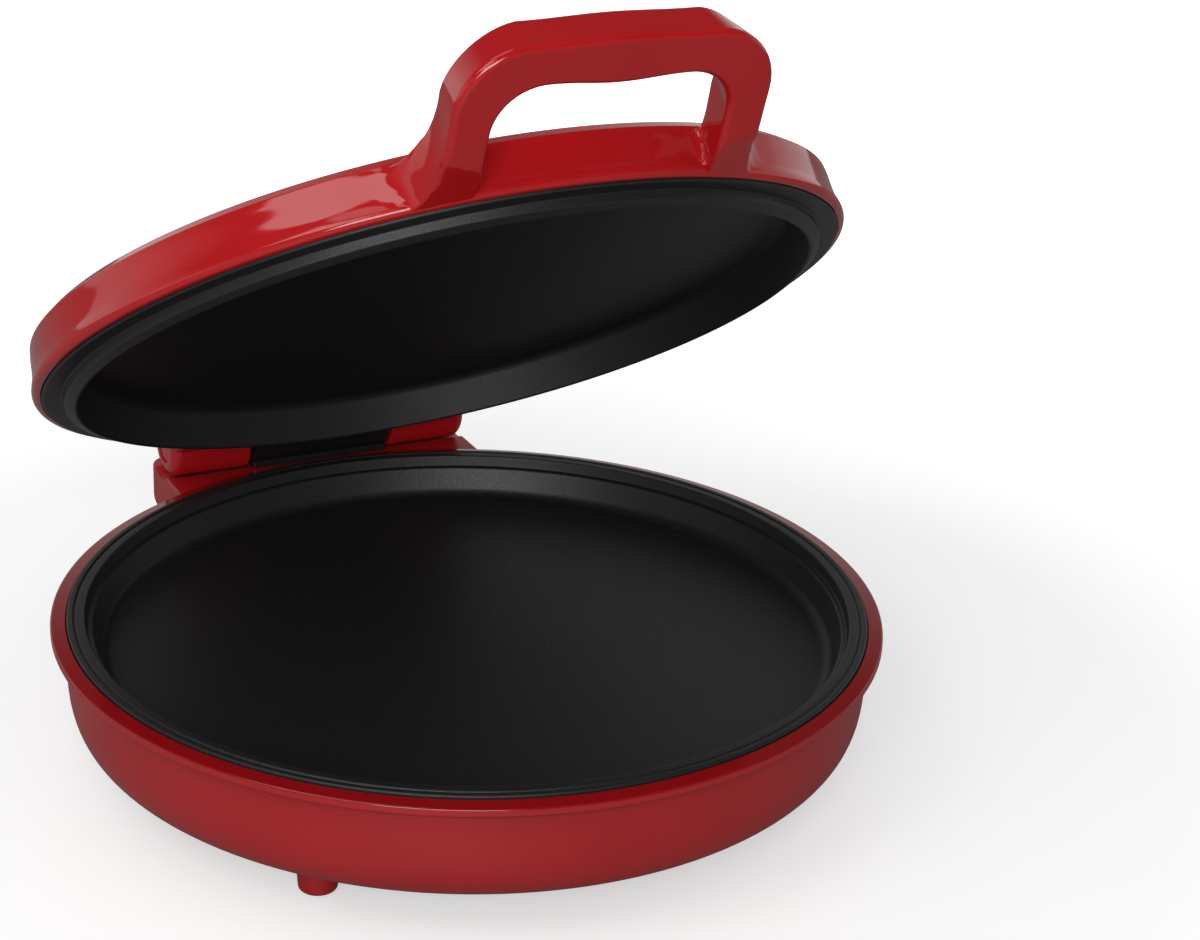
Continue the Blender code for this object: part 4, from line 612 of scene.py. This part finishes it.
def knuckle_outline(inset):
    """Barrel round the rod on a flat foot that stands on the housing."""
    radius, level = KNUCKLE_R - inset, KNUCKLE_FOOT_TOP_Z - inset
    front, back = KNUCKLE_FRONT + inset, KNUCKLE_BACK - inset
    dip = math.degrees(math.asin((HINGE.z - level) / radius))
    barrel = arc((HINGE.y, HINGE.z), radius, -dip, 180 + dip, 40)
    foot = [(front, KNUCKLE_FOOT_Z), (back, KNUCKLE_FOOT_Z)]
    return [*foot, (back, level), *barrel, (front, level)]


def hinge_knuckle():
    """Black block between the lid's arms, bored for the rod and screwed down at its back."""
    stations = []
    for a in quarter(4):
        x = KNUCKLE_HALF_W - KNUCKLE_EDGE_R * (1 - math.cos(a))
        stations.append((x, KNUCKLE_EDGE_R * (1 - math.sin(a))))
    stations += [(-x, inset) for x, inset in stations[::-1]]
    solid = skinned([[(x, y, z) for y, z in knuckle_outline(inset)] for x, inset in stations])
    knuckle = made("hinge_knuckle", solid, "base", "black_plastic", "hinge_block")
    tools = [bar("rod_bore", "base", 48, along_rod(1), *ROD_BORE)]
    for side in SIDES.values():
        tools.append(bar("screw_seat", "base", 32, knuckle_screw_turn(side), *SCREW_SEAT))
    return crisp(cut(knuckle, "DIFFERENCE", *tools), 30)


hinge_knuckle()


# Shares of a head's height or radius
HEAD_EDGE_SHARE, HEAD_DOME_SHARE = 0.35, 0.65
RECESS_LONG_SHARE, RECESS_WIDE_SHARE = 0.56, 0.13
RECESS_MOUTH_SHARE, RECESS_FLOOR_SHARE, RECESS_TAPER_SHARE = 0.3, 0.75, 0.55
# Shares of a shank's radius
TIP_LENGTH_SHARE, TIP_FLAT_SHARE = 0.6, 0.4
ABOVE_HEAD = 0.5


def cross_screw(piece, body, turn, head, head_top, seat, shank, tip, *nodes):
    """Screw with a low domed head and a cross recess. Its axis is turn's, head to the top."""
    span = head_top - seat
    way = 1 if span > 0 else -1
    crown = []
    for u, v in arc((0, seat + span * HEAD_EDGE_SHARE), 1.0, 0, 90, 6):
        rise = (v - seat - span * HEAD_EDGE_SHARE) * span * HEAD_DOME_SHARE
        crown.append((head * u, seat + span * HEAD_EDGE_SHARE + rise))
    taper = tip + way * shank * TIP_LENGTH_SHARE
    point = [(shank, taper), (shank * TIP_FLAT_SHARE, tip), (0, tip)]
    profile = [(0, head_top), *crown[-2::-1], (head, seat), (shank, seat), *point]
    screw = made(piece, turned(profile, 32, turn), body, "steel", *nodes)
    long, wide = head * RECESS_LONG_SHARE, head * RECESS_WIDE_SHARE
    # (share of the plan, height), narrower towards the recess's floor
    depths = [(1.0, head_top + way * ABOVE_HEAD), (1.0, head_top - span * RECESS_MOUTH_SHARE)]
    depths.append((RECESS_TAPER_SHARE, head_top - span * RECESS_FLOOR_SHARE))
    tools = []
    for x, y in ((long, wide), (wide, long)):
        plan = [(-x, -y), (x, -y), (x, y), (-x, y)]
        sections = [[turn @ Vector((u * s, v * s, z)) for u, v in plan] for s, z in depths]
        tools.append(meshed("recess", skinned(sections), body))
    return crisp(cut(screw, "DIFFERENCE", *tools), 30)


# Head radius, head top, seat, shank radius, tip
PAN_SCREW = (3.8, 14.6, 17.0, 1.7, 41.5)
KNUCKLE_SCREW_SIZES = (2.2, 64.1, 62.8, 1.2, 55.8)


def base_screws():
    for k, (x, y) in enumerate(POSTS, 1):
        cross_screw(f"pan_screw_{k}", "base", upright(x, y), *PAN_SCREW, f"plate_screw_{k}")
    for name, side in SIDES.items():
        turn, replaced = knuckle_screw_turn(side), f"hinge_block_screw_{name}"
        cross_screw(f"knuckle_screw_{name}", "base", turn, *KNUCKLE_SCREW_SIZES, replaced)


base_screws()


# (radius, height, rounding) of the collar, then (radius, height) of the nut inside the wall
GLAND_COLLAR = [
    (3.0, 5.0, 0.4), (4.7, 5.0, 0.6), (5.8, 1.6, 0.4), (5.8, 0.3, 0.2), (4.0, 0.3, 0.1)
]
GLAND_NUT = [(4.0, -3.3), (4.4, -3.3), (4.4, -5.3), (3.0, -5.3)]


def cable_gland():
    """Empty collar in the housing's back wall, held by a nut inside."""
    backward = Matrix.Translation(GLAND) @ Matrix.Rotation(-math.pi / 2, 4, "X")
    solid = turned([*eased(GLAND_COLLAR, steps=4), *GLAND_NUT], 64, backward, hollow=True)
    made("cable_gland", solid, "base", "black_plastic", "cord_gland", soften=30)


cable_gland()


FOOT_DISH_Z = 0.35
# (radius, height, rounding), from the dished face to the middle of the back
FOOT_BUTTON = [(3.0, FOOT_DISH_Z, 0), (3.4, 0, 0.2), (4.4, 0, 0.5), (4.4, 2.6, 0.3), (0, 2.6, 0)]


def foot_buttons():
    """Rubber button pressed into each foot, with a shallow dished face."""
    names = ("front_left", "back_left", "front_right", "back_right")
    for name, (x, y) in zip(names, FEET):
        solid = turned([(0, FOOT_DISH_Z), *eased(FOOT_BUTTON, steps=4)], 48, upright(x, y))
        made(f"foot_button_{name}", solid, "base", "rubber", f"foot_pad_{name}")


foot_buttons()


# Lid moulding
LIP_Z, LIP_FLAT_R, BAND_R, BAND_TOP_R, BAND_TOP_Z = 64.1, 150, 161.3, 160.6, 82.2
# (radius, height) of the lip and the band
BAND = [
    (BAND_R, LIP_Z), (162.5, 64.8), (163.1, 66.4), (162.7, 68.4), (161.9, 70.9), (161.3, 75.0),
    (160.9, 79.9), (BAND_TOP_R, BAND_TOP_Z),
]
# (radius, height, rounding), from the band to the dome
SHOULDER = [(BAND_TOP_R, BAND_TOP_Z, 0), (160.4, 83.5, 0.7), (156.1, 86.9, 2.6)]
DOME_R, DOME_EDGE_Z, DOME_RISE, DOME_POWER = 156.3, 86.7, 11.3, 2.8
DOME_FROM_R = 151.0
DOME_RINGS = (146, 140, 133, 125, 116, 106, 95, 83, 70, 56, 42, 28, 14, 0)
LID_WALL = 3.0
# (radius, height) of the room's side, then the radii at which its roof is taken
LID_ROOM_SIDE = [(0, 60.1), (160.3, 60.1), (160.3, 66.7), (159.3, 66.7), (157.4, 78.7)]
LID_ROOF_RINGS = (155.0, 148, 138, 124, 106, 84, 58, 30, 0)

ARM_R, ARM_LOW_Z, ARM_HIGH_Z, ARM_ROOT_Y = 14.0, 64.9, 82.9, 138.0
ARM_INNER_X, ARM_INNER_EDGE_R, ARM_OUTER_X, ARM_OUTER_EDGE_R = 33.6, 1.2, 65.0, 5.0


def dome_height(radius):
    return DOME_EDGE_Z + DOME_RISE * (1 - min(radius / DOME_R, 1) ** DOME_POWER)


def lid_solid():
    """Rounded lip, side band that narrows to its top, sloping shoulder and a low dome."""
    band = flowing(BAND, 5)
    top = eased([*SHOULDER, (DOME_FROM_R, dome_height(DOME_FROM_R), 0)], steps=6)
    dome = [(r, dome_height(r)) for r in DOME_RINGS]
    return turned([(0, LIP_Z), (LIP_FLAT_R, LIP_Z), *band[:-1], *top, *dome])


def lid_room():
    return turned([*LID_ROOM_SIDE, *[(r, dome_height(r) - LID_WALL) for r in LID_ROOF_RINGS]])


def arm_outline(inset):
    """Barrel round the rod and the web that runs forward to the band."""
    radius, low, high = ARM_R - inset, ARM_LOW_Z + inset, ARM_HIGH_Z - inset
    dip = math.degrees(math.asin((HINGE.z - low) / radius))
    along, above = ARM_ROOT_Y - HINGE.y, high - HINGE.z
    top = math.degrees(math.atan2(above, along) - math.acos(radius / math.hypot(along, above)))
    barrel = arc((HINGE.y, HINGE.z), radius, 180 + dip, 360 + top, 40)
    return [(ARM_ROOT_Y, low), *barrel, (ARM_ROOT_Y, high)]


def arm_solid(side):
    stations = []
    for a in quarter(4):
        x = ARM_INNER_X + ARM_INNER_EDGE_R * (1 - math.cos(a))
        stations.append((x, ARM_INNER_EDGE_R * (1 - math.sin(a))))
    for a in quarter(10):
        x = ARM_OUTER_X + ARM_OUTER_EDGE_R * math.sin(a)
        stations.append((x, ARM_OUTER_EDGE_R * (1 - math.cos(a))))
    return skinned([[(side * x, y, z) for y, z in arm_outline(inset)] for x, inset in stations])


# Handle. Its own coordinates: x across, y from its front face to its back, z up its length
HANDLE_Y, HANDLE_Z, HANDLE_LEAN = -163.1, 65.1, math.radians(56)
HANDLE_TURN = (
    Matrix.Translation((0, HANDLE_Y, HANDLE_Z)) @ Matrix.Rotation(HANDLE_LEAN, 4, "X")
)
GRIP_DEEP = 19.5
LEG_IN, LEG_OUT = 44.5, 60.5
# Corners of the loop: centre and radius
INNER_CORNER, INNER_R = (25.5, 20.6), 19
OUTER_CORNER, OUTER_R = (35.5, 31.2), 25
GRIP_LOW, GRIP_SAG, GRIP_HIGH, GRIP_ARCH = 39.6, 1.6, 56.2, 1.2
# How far a flank leans in from the front face to the back, at the leg, corner and grip
INNER_LEG_DRAFT, INNER_CORNER_DRAFT = 2.8, 3.9
OUTER_LEG_DRAFT, OUTER_CORNER_DRAFT = 3.4, 3.7
GRIP_DRAFT = 1.6
LEG_SPREAD, LEG_SPREAD_TOP, LEG_SPREAD_POWER = 9.0, 31.2, 2.2
# (inner height, outer height) of the sections up a leg
LEG_STATIONS = (
    (-12, -12), (-6, -6), (0, 0), (4, 5), (8, 10), (11, 14.5), (14, 19), (17, 23.5), (19, 27.5)
)
RECESS_STATIONS = ((12.7, 12.7), (14.7, 18), (17.3, 24.5))
STRIP_STATIONS = ((13.0, 13.0), (14.8, 18), (17.4, 24.5))
RECESS_FORM = {"front": GRIP_DEEP - 2.7, "back": GRIP_DEEP + 3, "inset": 1.5, "edge": 0.5}
STRIP_FORM = {"front": GRIP_DEEP - 2.4, "back": GRIP_DEEP - 0.3, "inset": 1.8, "edge": 0.6}


def outer_draft(height):
    """Draft of a leg's outer flank. Towards the foot it turns into a spread."""
    share = min(max(height, 0), LEG_SPREAD_TOP) / LEG_SPREAD_TOP
    return OUTER_LEG_DRAFT - LEG_SPREAD * (1 - share) ** LEG_SPREAD_POWER


def handle_line(low, fine=12):
    """(inner, outer, inner draft, outer draft) from the right foot to the grip's middle."""
    stations = [((LEG_IN, h), (LEG_OUT, g), INNER_LEG_DRAFT, outer_draft(g)) for h, g in low]
    drafts = (INNER_LEG_DRAFT, INNER_CORNER_DRAFT), (OUTER_LEG_DRAFT, OUTER_CORNER_DRAFT)
    for k in range(fine + 1):
        a = math.pi / 2 * k / fine
        across, up = math.cos(a), math.sin(a)
        inner = (INNER_CORNER[0] + INNER_R * across, INNER_CORNER[1] + INNER_R * up)
        outer = (OUTER_CORNER[0] + OUTER_R * across, OUTER_CORNER[1] + OUTER_R * up)
        leg_share, corner_share = 1 - k / fine, math.sin(2 * a)
        leaning = []
        for leg, corner in drafts:
            extra = (leg - GRIP_DRAFT) * leg_share
            leaning.append(GRIP_DRAFT + extra + (corner - GRIP_DRAFT) * corner_share)
        stations.append((inner, outer, *leaning))
    for k in range(7, -1, -1):
        rise = (1 + math.cos(math.pi * k / 8)) / 2
        inner = (INNER_CORNER[0] * k / 8, GRIP_LOW - GRIP_SAG * rise)
        outer = (OUTER_CORNER[0] * k / 8, GRIP_HIGH + GRIP_ARCH * rise)
        stations.append((inner, outer, GRIP_DRAFT, GRIP_DRAFT))
    return stations


def handle_section(inner, outer, *drafts, front=0.0, back=GRIP_DEEP, inset=0.0, edge=2.6):
    """A rounded rectangle from an inner to an outer point, narrower at its back by the drafts."""
    a, b = Vector((inner[0], 0, inner[1])), Vector((outer[0], 0, outer[1]))
    width = (b - a).length - inset
    along = (b - a).normalized()
    near, far = [[draft * v / GRIP_DEEP for v in (front, back)] for draft in drafts]
    corners = [(inset + near[0], front, edge), (width - far[0], front, edge)]
    corners += [(width - far[1], back, edge), (inset + near[1], back, edge)]
    outline = eased(corners, closed=True, steps=8)
    return [HANDLE_TURN @ (a + along * u + Vector((0, v, 0))) for u, v in outline]


def looped(low, **section):
    """The whole loop, foot to foot, through sections that the keywords shape."""
    right = [handle_section(*station, **section) for station in handle_line(low)]
    left = [[Vector((-p.x, p.y, p.z)) for p in outline] for outline in right[:-1]]
    return skinned([*right, *left[::-1]])


def leg_back(height):
    """How far back a leg reaches, lid shut, at this height."""
    rise = height - HANDLE_Z - GRIP_DEEP * math.sin(HANDLE_LEAN)
    return GRIP_DEEP * math.cos(HANDLE_LEAN) + HANDLE_Y - rise * math.tan(HANDLE_LEAN)


def leg_side(y, height):
    """How far out a leg's flank is, lid shut, at this place."""
    ahead, above = y - HANDLE_Y, height - HANDLE_Z
    depth = ahead * math.cos(HANDLE_LEAN) + above * math.sin(HANDLE_LEAN)
    up = above * math.cos(HANDLE_LEAN) - ahead * math.sin(HANDLE_LEAN)
    return LEG_OUT - outer_draft(up) * min(max(depth / GRIP_DEEP, 0), 1)


FLARE_R = 19.0
# (height, share of the full sweep), from below the lip to where the sweep has died out
FLARE_LEVELS = [
    (60.3, 1.0), (77.0, 1.0), (79.5, 0.97), (81.8, 0.8), (83.4, 0.55), (84.8, 0.26),
    (86.0, 0.08), (87.0, 0.02),
]
FULL_SHARE = 0.97
INTO_LEG = 3


def flare_solid(side):
    """Concave sweep from a leg's outer flank into the band. It dies out up the leg."""
    across = LEG_OUT + FLARE_R
    middle = Vector((across, -math.sqrt((BAND_R + FLARE_R) ** 2 - across**2)))
    last = math.degrees(math.atan2(-middle.y, -middle.x))
    curve = [Vector(p) for p in arc(middle, FLARE_R, 180, last, 16)]
    flank = curve[0]
    # Points that close the outline inside the leg and the band
    inside = [curve[-1] + Vector((-INTO_LEG, 2 * INTO_LEG))]
    inside.append(Vector((LEG_OUT - INTO_LEG, curve[-1].y)))
    sections = []
    for height, share in flowing(FLARE_LEVELS, 3):
        root_y = min(flank.y, leg_back(height)) if share < FULL_SHARE else flank.y
        root = Vector((leg_side(root_y, height), root_y))
        outline = [root + (p - flank) * share for p in [*curve, *inside]]
        outline.append(root - Vector((INTO_LEG, INTO_LEG)))
        sections.append([(side * p.x, p.y, height) for p in outline])
    return skinned(sections)


FOOT_CUT_Z, FOOT_CUT_SLOPE = 64.4, 0.35
FOOT_CUT_INNER_R, FOOT_CUT_OUTER_R, FOOT_CUT_UNDER_Z = 80, 219, 40
FOOT_EDGE_R = 0.7
CLEAR_OF_BAND, ON_CONE = 0.5, 0.05


def cone_height(radius):
    """Height of the cone under the legs."""
    return FOOT_CUT_Z + FOOT_CUT_SLOPE * (radius - BAND_R)


def foot_cut():
    """Ends the legs at the lip. Further out the cut rises as a shallow cone."""
    under = [(FOOT_CUT_INNER_R, FOOT_CUT_UNDER_Z), (FOOT_CUT_OUTER_R, FOOT_CUT_UNDER_Z)]
    edge = (FOOT_CUT_OUTER_R, cone_height(FOOT_CUT_OUTER_R))
    top = [edge, (BAND_R, FOOT_CUT_Z), (FOOT_CUT_INNER_R, FOOT_CUT_Z)]
    return turned([*under, *top], hollow=True)


def on_foot_cone(point):
    """Whether a point, lid shut, lies on the cone under the legs, clear of the band."""
    radius = math.hypot(point.x, point.y)
    return radius > BAND_R + CLEAR_OF_BAND and abs(point.z - cone_height(radius)) < ON_CONE


LAMP_R, LAMP_X = 118.0, 11.0
STRIP_SCREW_X, STRIP_SCREW_UP, STRIP_SEAT_DEPTH = 52.5, 19.67, 2.4
ARM_BORE = (74, (7.3, 67.5), (5.3, 29.6))
LENS_SEAT = (4, (5.9, -1.0), (4.3, -7))
STRIP_SCREW_HOLE = (2, (1.6, -11.3))
STRIP_SCREW_SEAT = (4.8, (2.3, 0.8), (1.6, -4))


def lamp_turn(side):
    """Place and tilt of a lamp on the dome, square to it."""
    slope = DOME_RISE * DOME_POWER / DOME_R * (LAMP_R / DOME_R) ** (DOME_POWER - 1)
    swing = math.asin(LAMP_X / LAMP_R) * side
    place = (side * LAMP_X, -LAMP_R * math.cos(swing), dome_height(LAMP_R))
    tilt = Matrix.Rotation(math.atan(slope), 4, "X")
    return Matrix.Translation(place) @ Matrix.Rotation(swing, 4, "Z") @ tilt


def strip_screw_turn(side):
    """Place of a back screw: its top faces out of the handle's back."""
    depth = GRIP_DEEP - STRIP_SEAT_DEPTH
    place = Matrix.Translation((side * STRIP_SCREW_X, depth, STRIP_SCREW_UP))
    return HANDLE_TURN @ place @ Matrix.Rotation(-math.pi / 2, 4, "X")


# Middle of a leg's root on the right, and how far its softening reaches
ROOT, ROOT_REACH = Vector((66.0, -155.0, 79.0)), 25.0
# The lip, the bores and the inside stay as they are
ROOT_LOW_Z, ROOT_INNER_R = 67.5, 158.0
# Edges longer than this, in millimetres, are halved, pass by pass
ROOT_EDGES = (6.0, 3.0, 2.0, 2.0)
ROOT_ROUNDS, MOST_PER_ROUND = 36, 0.5


def soften_roots(shell):
    """Melts the creases round each leg's root into one sweep, most at its middle."""
    roots = [Vector((side * ROOT.x, ROOT.y, ROOT.z)) for side in SIDES.values()]

    def weight(co):
        point = LID_SHUT @ co
        if point.z < ROOT_LOW_Z or math.hypot(point.x, point.y) < ROOT_INNER_R:
            return 0.0
        return max(max(1 - ((point - root).length / ROOT_REACH) ** 2, 0.0) for root in roots)

    bm = opened(shell)

    def near(parts):
        """The faces or edges that touch a point with a weight, in the mesh's order."""
        points = {v for v in bm.verts if weight(v.co) > 0}
        return [part for part in parts if any(v in points for v in part.verts)]

    for limit in ROOT_EDGES:
        bmesh.ops.triangulate(bm, faces=near(bm.faces))
        edges = [e for e in near(bm.edges) if e.calc_length() > limit * MM]
        bmesh.ops.subdivide_edges(bm, edges=edges, cuts=1)
    bmesh.ops.triangulate(bm, faces=near(bm.faces))
    weights = [(v, weight(v.co)) for v in bm.verts]
    shares = [(v, MOST_PER_ROUND * min(2 * w, 1)) for v, w in weights if w > 0]
    for _ in range(ROOT_ROUNDS):
        moved = []
        for v, share in shares:
            others = [e.other_vert(v).co for e in v.link_edges]
            moved.append((v, v.co.lerp(sum(others, Vector()) / len(others), share)))
        for v, co in moved:
            v.co = co
    bm.to_mesh(shell.data)
    bm.free()


def lid_shell():
    loop = meshed("loop", looped(LEG_STATIONS), "lid")
    flares = [meshed("flare", flare_solid(side), "lid") for side in SIDES.values()]
    cut(loop, "UNION", *flares)
    cut(loop, "DIFFERENCE", meshed("foot_cut", foot_cut(), "lid"))
    round_edges(loop, FOOT_EDGE_R, on_foot_cone)
    shell = made("lid_shell", lid_solid(), "lid", "gloss_red", "lid_cover")
    arms = [meshed("arm", arm_solid(side), "lid") for side in SIDES.values()]
    cut(shell, "UNION", *arms, loop)

    tools = [meshed("room", lid_room(), "lid")]
    for side in SIDES.values():
        tools.append(bar("bore", "lid", 64, along_rod(side), *ARM_BORE))
        tools.append(bar("lens_seat", "lid", 48, lamp_turn(side), *LENS_SEAT))
        tools.append(bar("screw_hole", "lid", 24, strip_screw_turn(side), *STRIP_SCREW_HOLE))
    tools.append(meshed("recess", looped(RECESS_STATIONS, **RECESS_FORM), "lid"))
    cut(shell, "DIFFERENCE", *tools)
    soften_roots(shell)
    return crisp(shell, 32)


lid_shell()


def back_strip():
    """Strip that closes the handle's back, sunk for its two screws."""
    solid = looped(STRIP_STATIONS, **STRIP_FORM)
    strip = made("back_strip", solid, "lid", "gloss_red", "handle_back")
    tools = []
    for side in SIDES.values():
        tools.append(bar("screw_hole", "lid", 32, strip_screw_turn(side), *STRIP_SCREW_SEAT))
    return crisp(cut(strip, "DIFFERENCE", *tools), 35)


back_strip()


# (radius, height, rounding): the hollow, the bead, the flat ring and the upper side
UPPER_PAN = [
    (0, 74.0, 0), (115, 74.0, 0), (140.2, 74.0, 5.0), (147.3, 57.3, 1.2), (151.7, 59.5, 0.8),
    (152.2, 63.0, 0.5), (159.8, 63.0, 0.8), (159.8, 66.4, 0.3), (152.6, 66.4, 0.3),
    (146.0, 74.0, 2.0), (140.0, 77.0, 2.0), (0, 77.0, 0),
]
UPPER_BOSS = (78.2, (2.1, 83.8), (5.5, 75.5))


def upper_pan():
    """Flat outer ring, sloping bead and the hollow that faces the food."""
    pan = made("upper_pan", turned(eased(UPPER_PAN)), "lid", "nonstick", "upper_plate", soften=60)
    tools = [bar("boss", "lid", 32, upright(*p), *UPPER_BOSS) for p in POSTS]
    return crisp(cut(pan, "UNION", *tools), 60)


upper_pan()


# (radius, distance along the rod, rounding)
PLUG = [(0, 67.8, 0), (7.0, 67.8, 0.2), (7.0, 69.4, 0.6), (5.0, 69.65, 2.0), (0, 69.7, 0)]


def hinge_plugs():
    """Low domed discs that close the arms' bores."""
    for name, side in SIDES.items():
        disc = turned(eased(PLUG), 64, along_rod(side))
        made(f"hinge_plug_{name}", disc, "lid", "gloss_red", f"hinge_cap_{name}")


hinge_plugs()


LENS_R, LENS_RISE, LENS_CENTRE_Z = 5.6, 1.5, -0.3
# (radius, height) of the lens's rim, stem and hollow
LENS_STEM = [(LENS_R, -0.7), (4.0, -0.7), (4.0, -5.7), (2.8, -5.7), (2.8, -1.3), (0, -1.3)]


def lamp_windows():
    """Domed lens over each lamp, with a hollow stem through the dome."""
    for side, name, colour in ((-1, "power", "red_lens"), (1, "ready", "green_lens")):
        dome = []
        for a in quarter(10):
            dome.append((LENS_R * math.sin(a), LENS_CENTRE_Z + LENS_RISE * math.cos(a)))
        lens = turned([*dome, *LENS_STEM], 48, lamp_turn(side))
        made(f"{name}_window", lens, "lid", colour, f"{name}_lens")


lamp_windows()


# Head radius, head top, seat, shank radius, tip
STRIP_SCREW = (2.0, 2.1, 1.1, 1.3, -10.7)


def strip_screws():
    for name, side in SIDES.items():
        turn, replaced = strip_screw_turn(side), f"handle_screw_{name}"
        cross_screw(f"strip_screw_{name}", "lid", turn, *STRIP_SCREW, replaced)


strip_screws()


# Camera, fitted to the photograph
CAMERA_DEGREES = {"turn": -27.22, "lift": 22.58, "roll": 2.28}
AIM = Vector((45.9, -20.5, 120.0))
CAMERA_DISTANCE = 1.1
PHOTO_WIDTH, FOCAL_PIXELS, SENSOR_WIDTH = 1200, 2783, 36


def camera():
    turn, lift, roll = (math.radians(v) for v in CAMERA_DEGREES.values())
    level = math.cos(lift)
    back = Vector((math.sin(turn) * level, -math.cos(turn) * level, math.sin(lift)))
    flat_right = Vector((math.cos(turn), math.sin(turn), 0))
    flat_up = back.cross(flat_right)
    right = flat_right * math.cos(roll) + flat_up * math.sin(roll)
    up = flat_up * math.cos(roll) - flat_right * math.sin(roll)
    place = (AIM + BOWL_AXIS) * MM + back * CAMERA_DISTANCE
    data = bpy.data.cameras.new("camera")
    data.sensor_width = SENSOR_WIDTH
    data.lens = FOCAL_PIXELS * SENSOR_WIDTH / PHOTO_WIDTH
    data.clip_start = 0.05
    eye = bpy.data.objects.new("camera", data)
    bpy.context.scene.collection.objects.link(eye)
    rows = [(right[k], up[k], back[k], place[k]) for k in range(3)]
    eye.matrix_world = Matrix((*rows, (0, 0, 0, 1)))
    bpy.context.scene.camera = eye


camera()


# Studio, in metres and watts
def lamp(name, place, aim, width, height, power):
    data = bpy.data.lights.new(name, "AREA")
    data.shape = "RECTANGLE"
    data.size, data.size_y = width, height
    data.energy = power
    obj = bpy.data.objects.new(name, data)
    bpy.context.scene.collection.objects.link(obj)
    obj.location = place
    obj.rotation_euler = (Vector(aim) - Vector(place)).to_track_quat("-Z", "Y").to_euler()


def studio_world():
    """Light from all round. The camera sees it as white, and shiny faces see a backdrop."""
    world = bpy.data.worlds.new("studio")
    bpy.context.scene.world = world
    world.use_nodes = True
    tree = world.node_tree
    rays = node(tree, "ShaderNodeLightPath").outputs
    seen = sum_of(tree, "MAXIMUM", rays["Is Camera Ray"], rays["Is Transmission Ray"])
    # The backdrop is bright near the horizon behind, under a dark ceiling
    direction = node(tree, "ShaderNodeTexCoord").outputs["Generated"]
    way = node(tree, "ShaderNodeSeparateXYZ", Vector=direction).outputs
    low = spread(tree, way["Z"], 0.8, 0.06, 0.1, 0.5)
    behind = spread(tree, way["Y"], 0.3, 1.0, -0.5, 0.1)
    backdrop = sum_of(tree, "MULTIPLY", low, behind)
    lit = node(tree, "ShaderNodeMix", Factor=rays["Is Glossy Ray"], A=0.46, B=backdrop)
    level = node(tree, "ShaderNodeMix", Factor=seen, A=lit.outputs["Result"], B=1.0)
    white = (1, 1, 1, 1)
    feed(tree, tree.nodes["Background"], Color=white, Strength=level.outputs["Result"])


def worktop():
    """White sweep that the object stands on, and that keeps its shadow."""
    bm = bmesh.new()
    bmesh.ops.create_grid(bm, x_segments=1, y_segments=1, size=4.0)
    mesh = bpy.data.meshes.new("worktop")
    bm.to_mesh(mesh)
    bm.free()
    floor = bpy.data.objects.new("worktop", mesh)
    bpy.context.scene.collection.objects.link(floor)
    material, tree, shader = new_material("white_studio_acrylic")
    seen = node(tree, "ShaderNodeLightPath").outputs["Is Camera Ray"]
    # Glow for the camera grows away from the object, so that the sweep is white to its edge
    place = node(tree, "ShaderNodeTexCoord").outputs["Object"]
    away = node(tree, "ShaderNodeVectorMath", {"operation": "LENGTH"}, Vector=place)
    glow = spread(tree, away.outputs["Value"], 0.5, 1.2, 0.3, 0.9)
    feed(
        tree,
        shader,
        Base_Color=blend(tree, seen, (0.3, 0.3, 0.3, 1), (0.62, 0.62, 0.62, 1)),
        Roughness=0.5,
        Emission_Color=(1, 1, 1, 1),
        Emission_Strength=sum_of(tree, "MULTIPLY", glow, seen),
    )
    mesh.materials.append(material)


def studio():
    studio_world()
    worktop()
    # Name, place, aim, width, height, power
    lamp("band_softbox", (-1.3, -0.45, 1.6), (0, -0.1, 0.15), 1.0, 0.7, 6)
    lamp("front_softbox", (-0.85, -1.45, 0.8), (0, 0, 0.1), 1.0, 0.7, 16)
    lamp("top_softbox", (-0.5, 0.2, 1.8), (0, 0, 0.1), 0.8, 0.8, 2.5)


studio()
bpy.context.scene.view_settings.view_transform = "Standard"

bpy.context.view_layer.update()
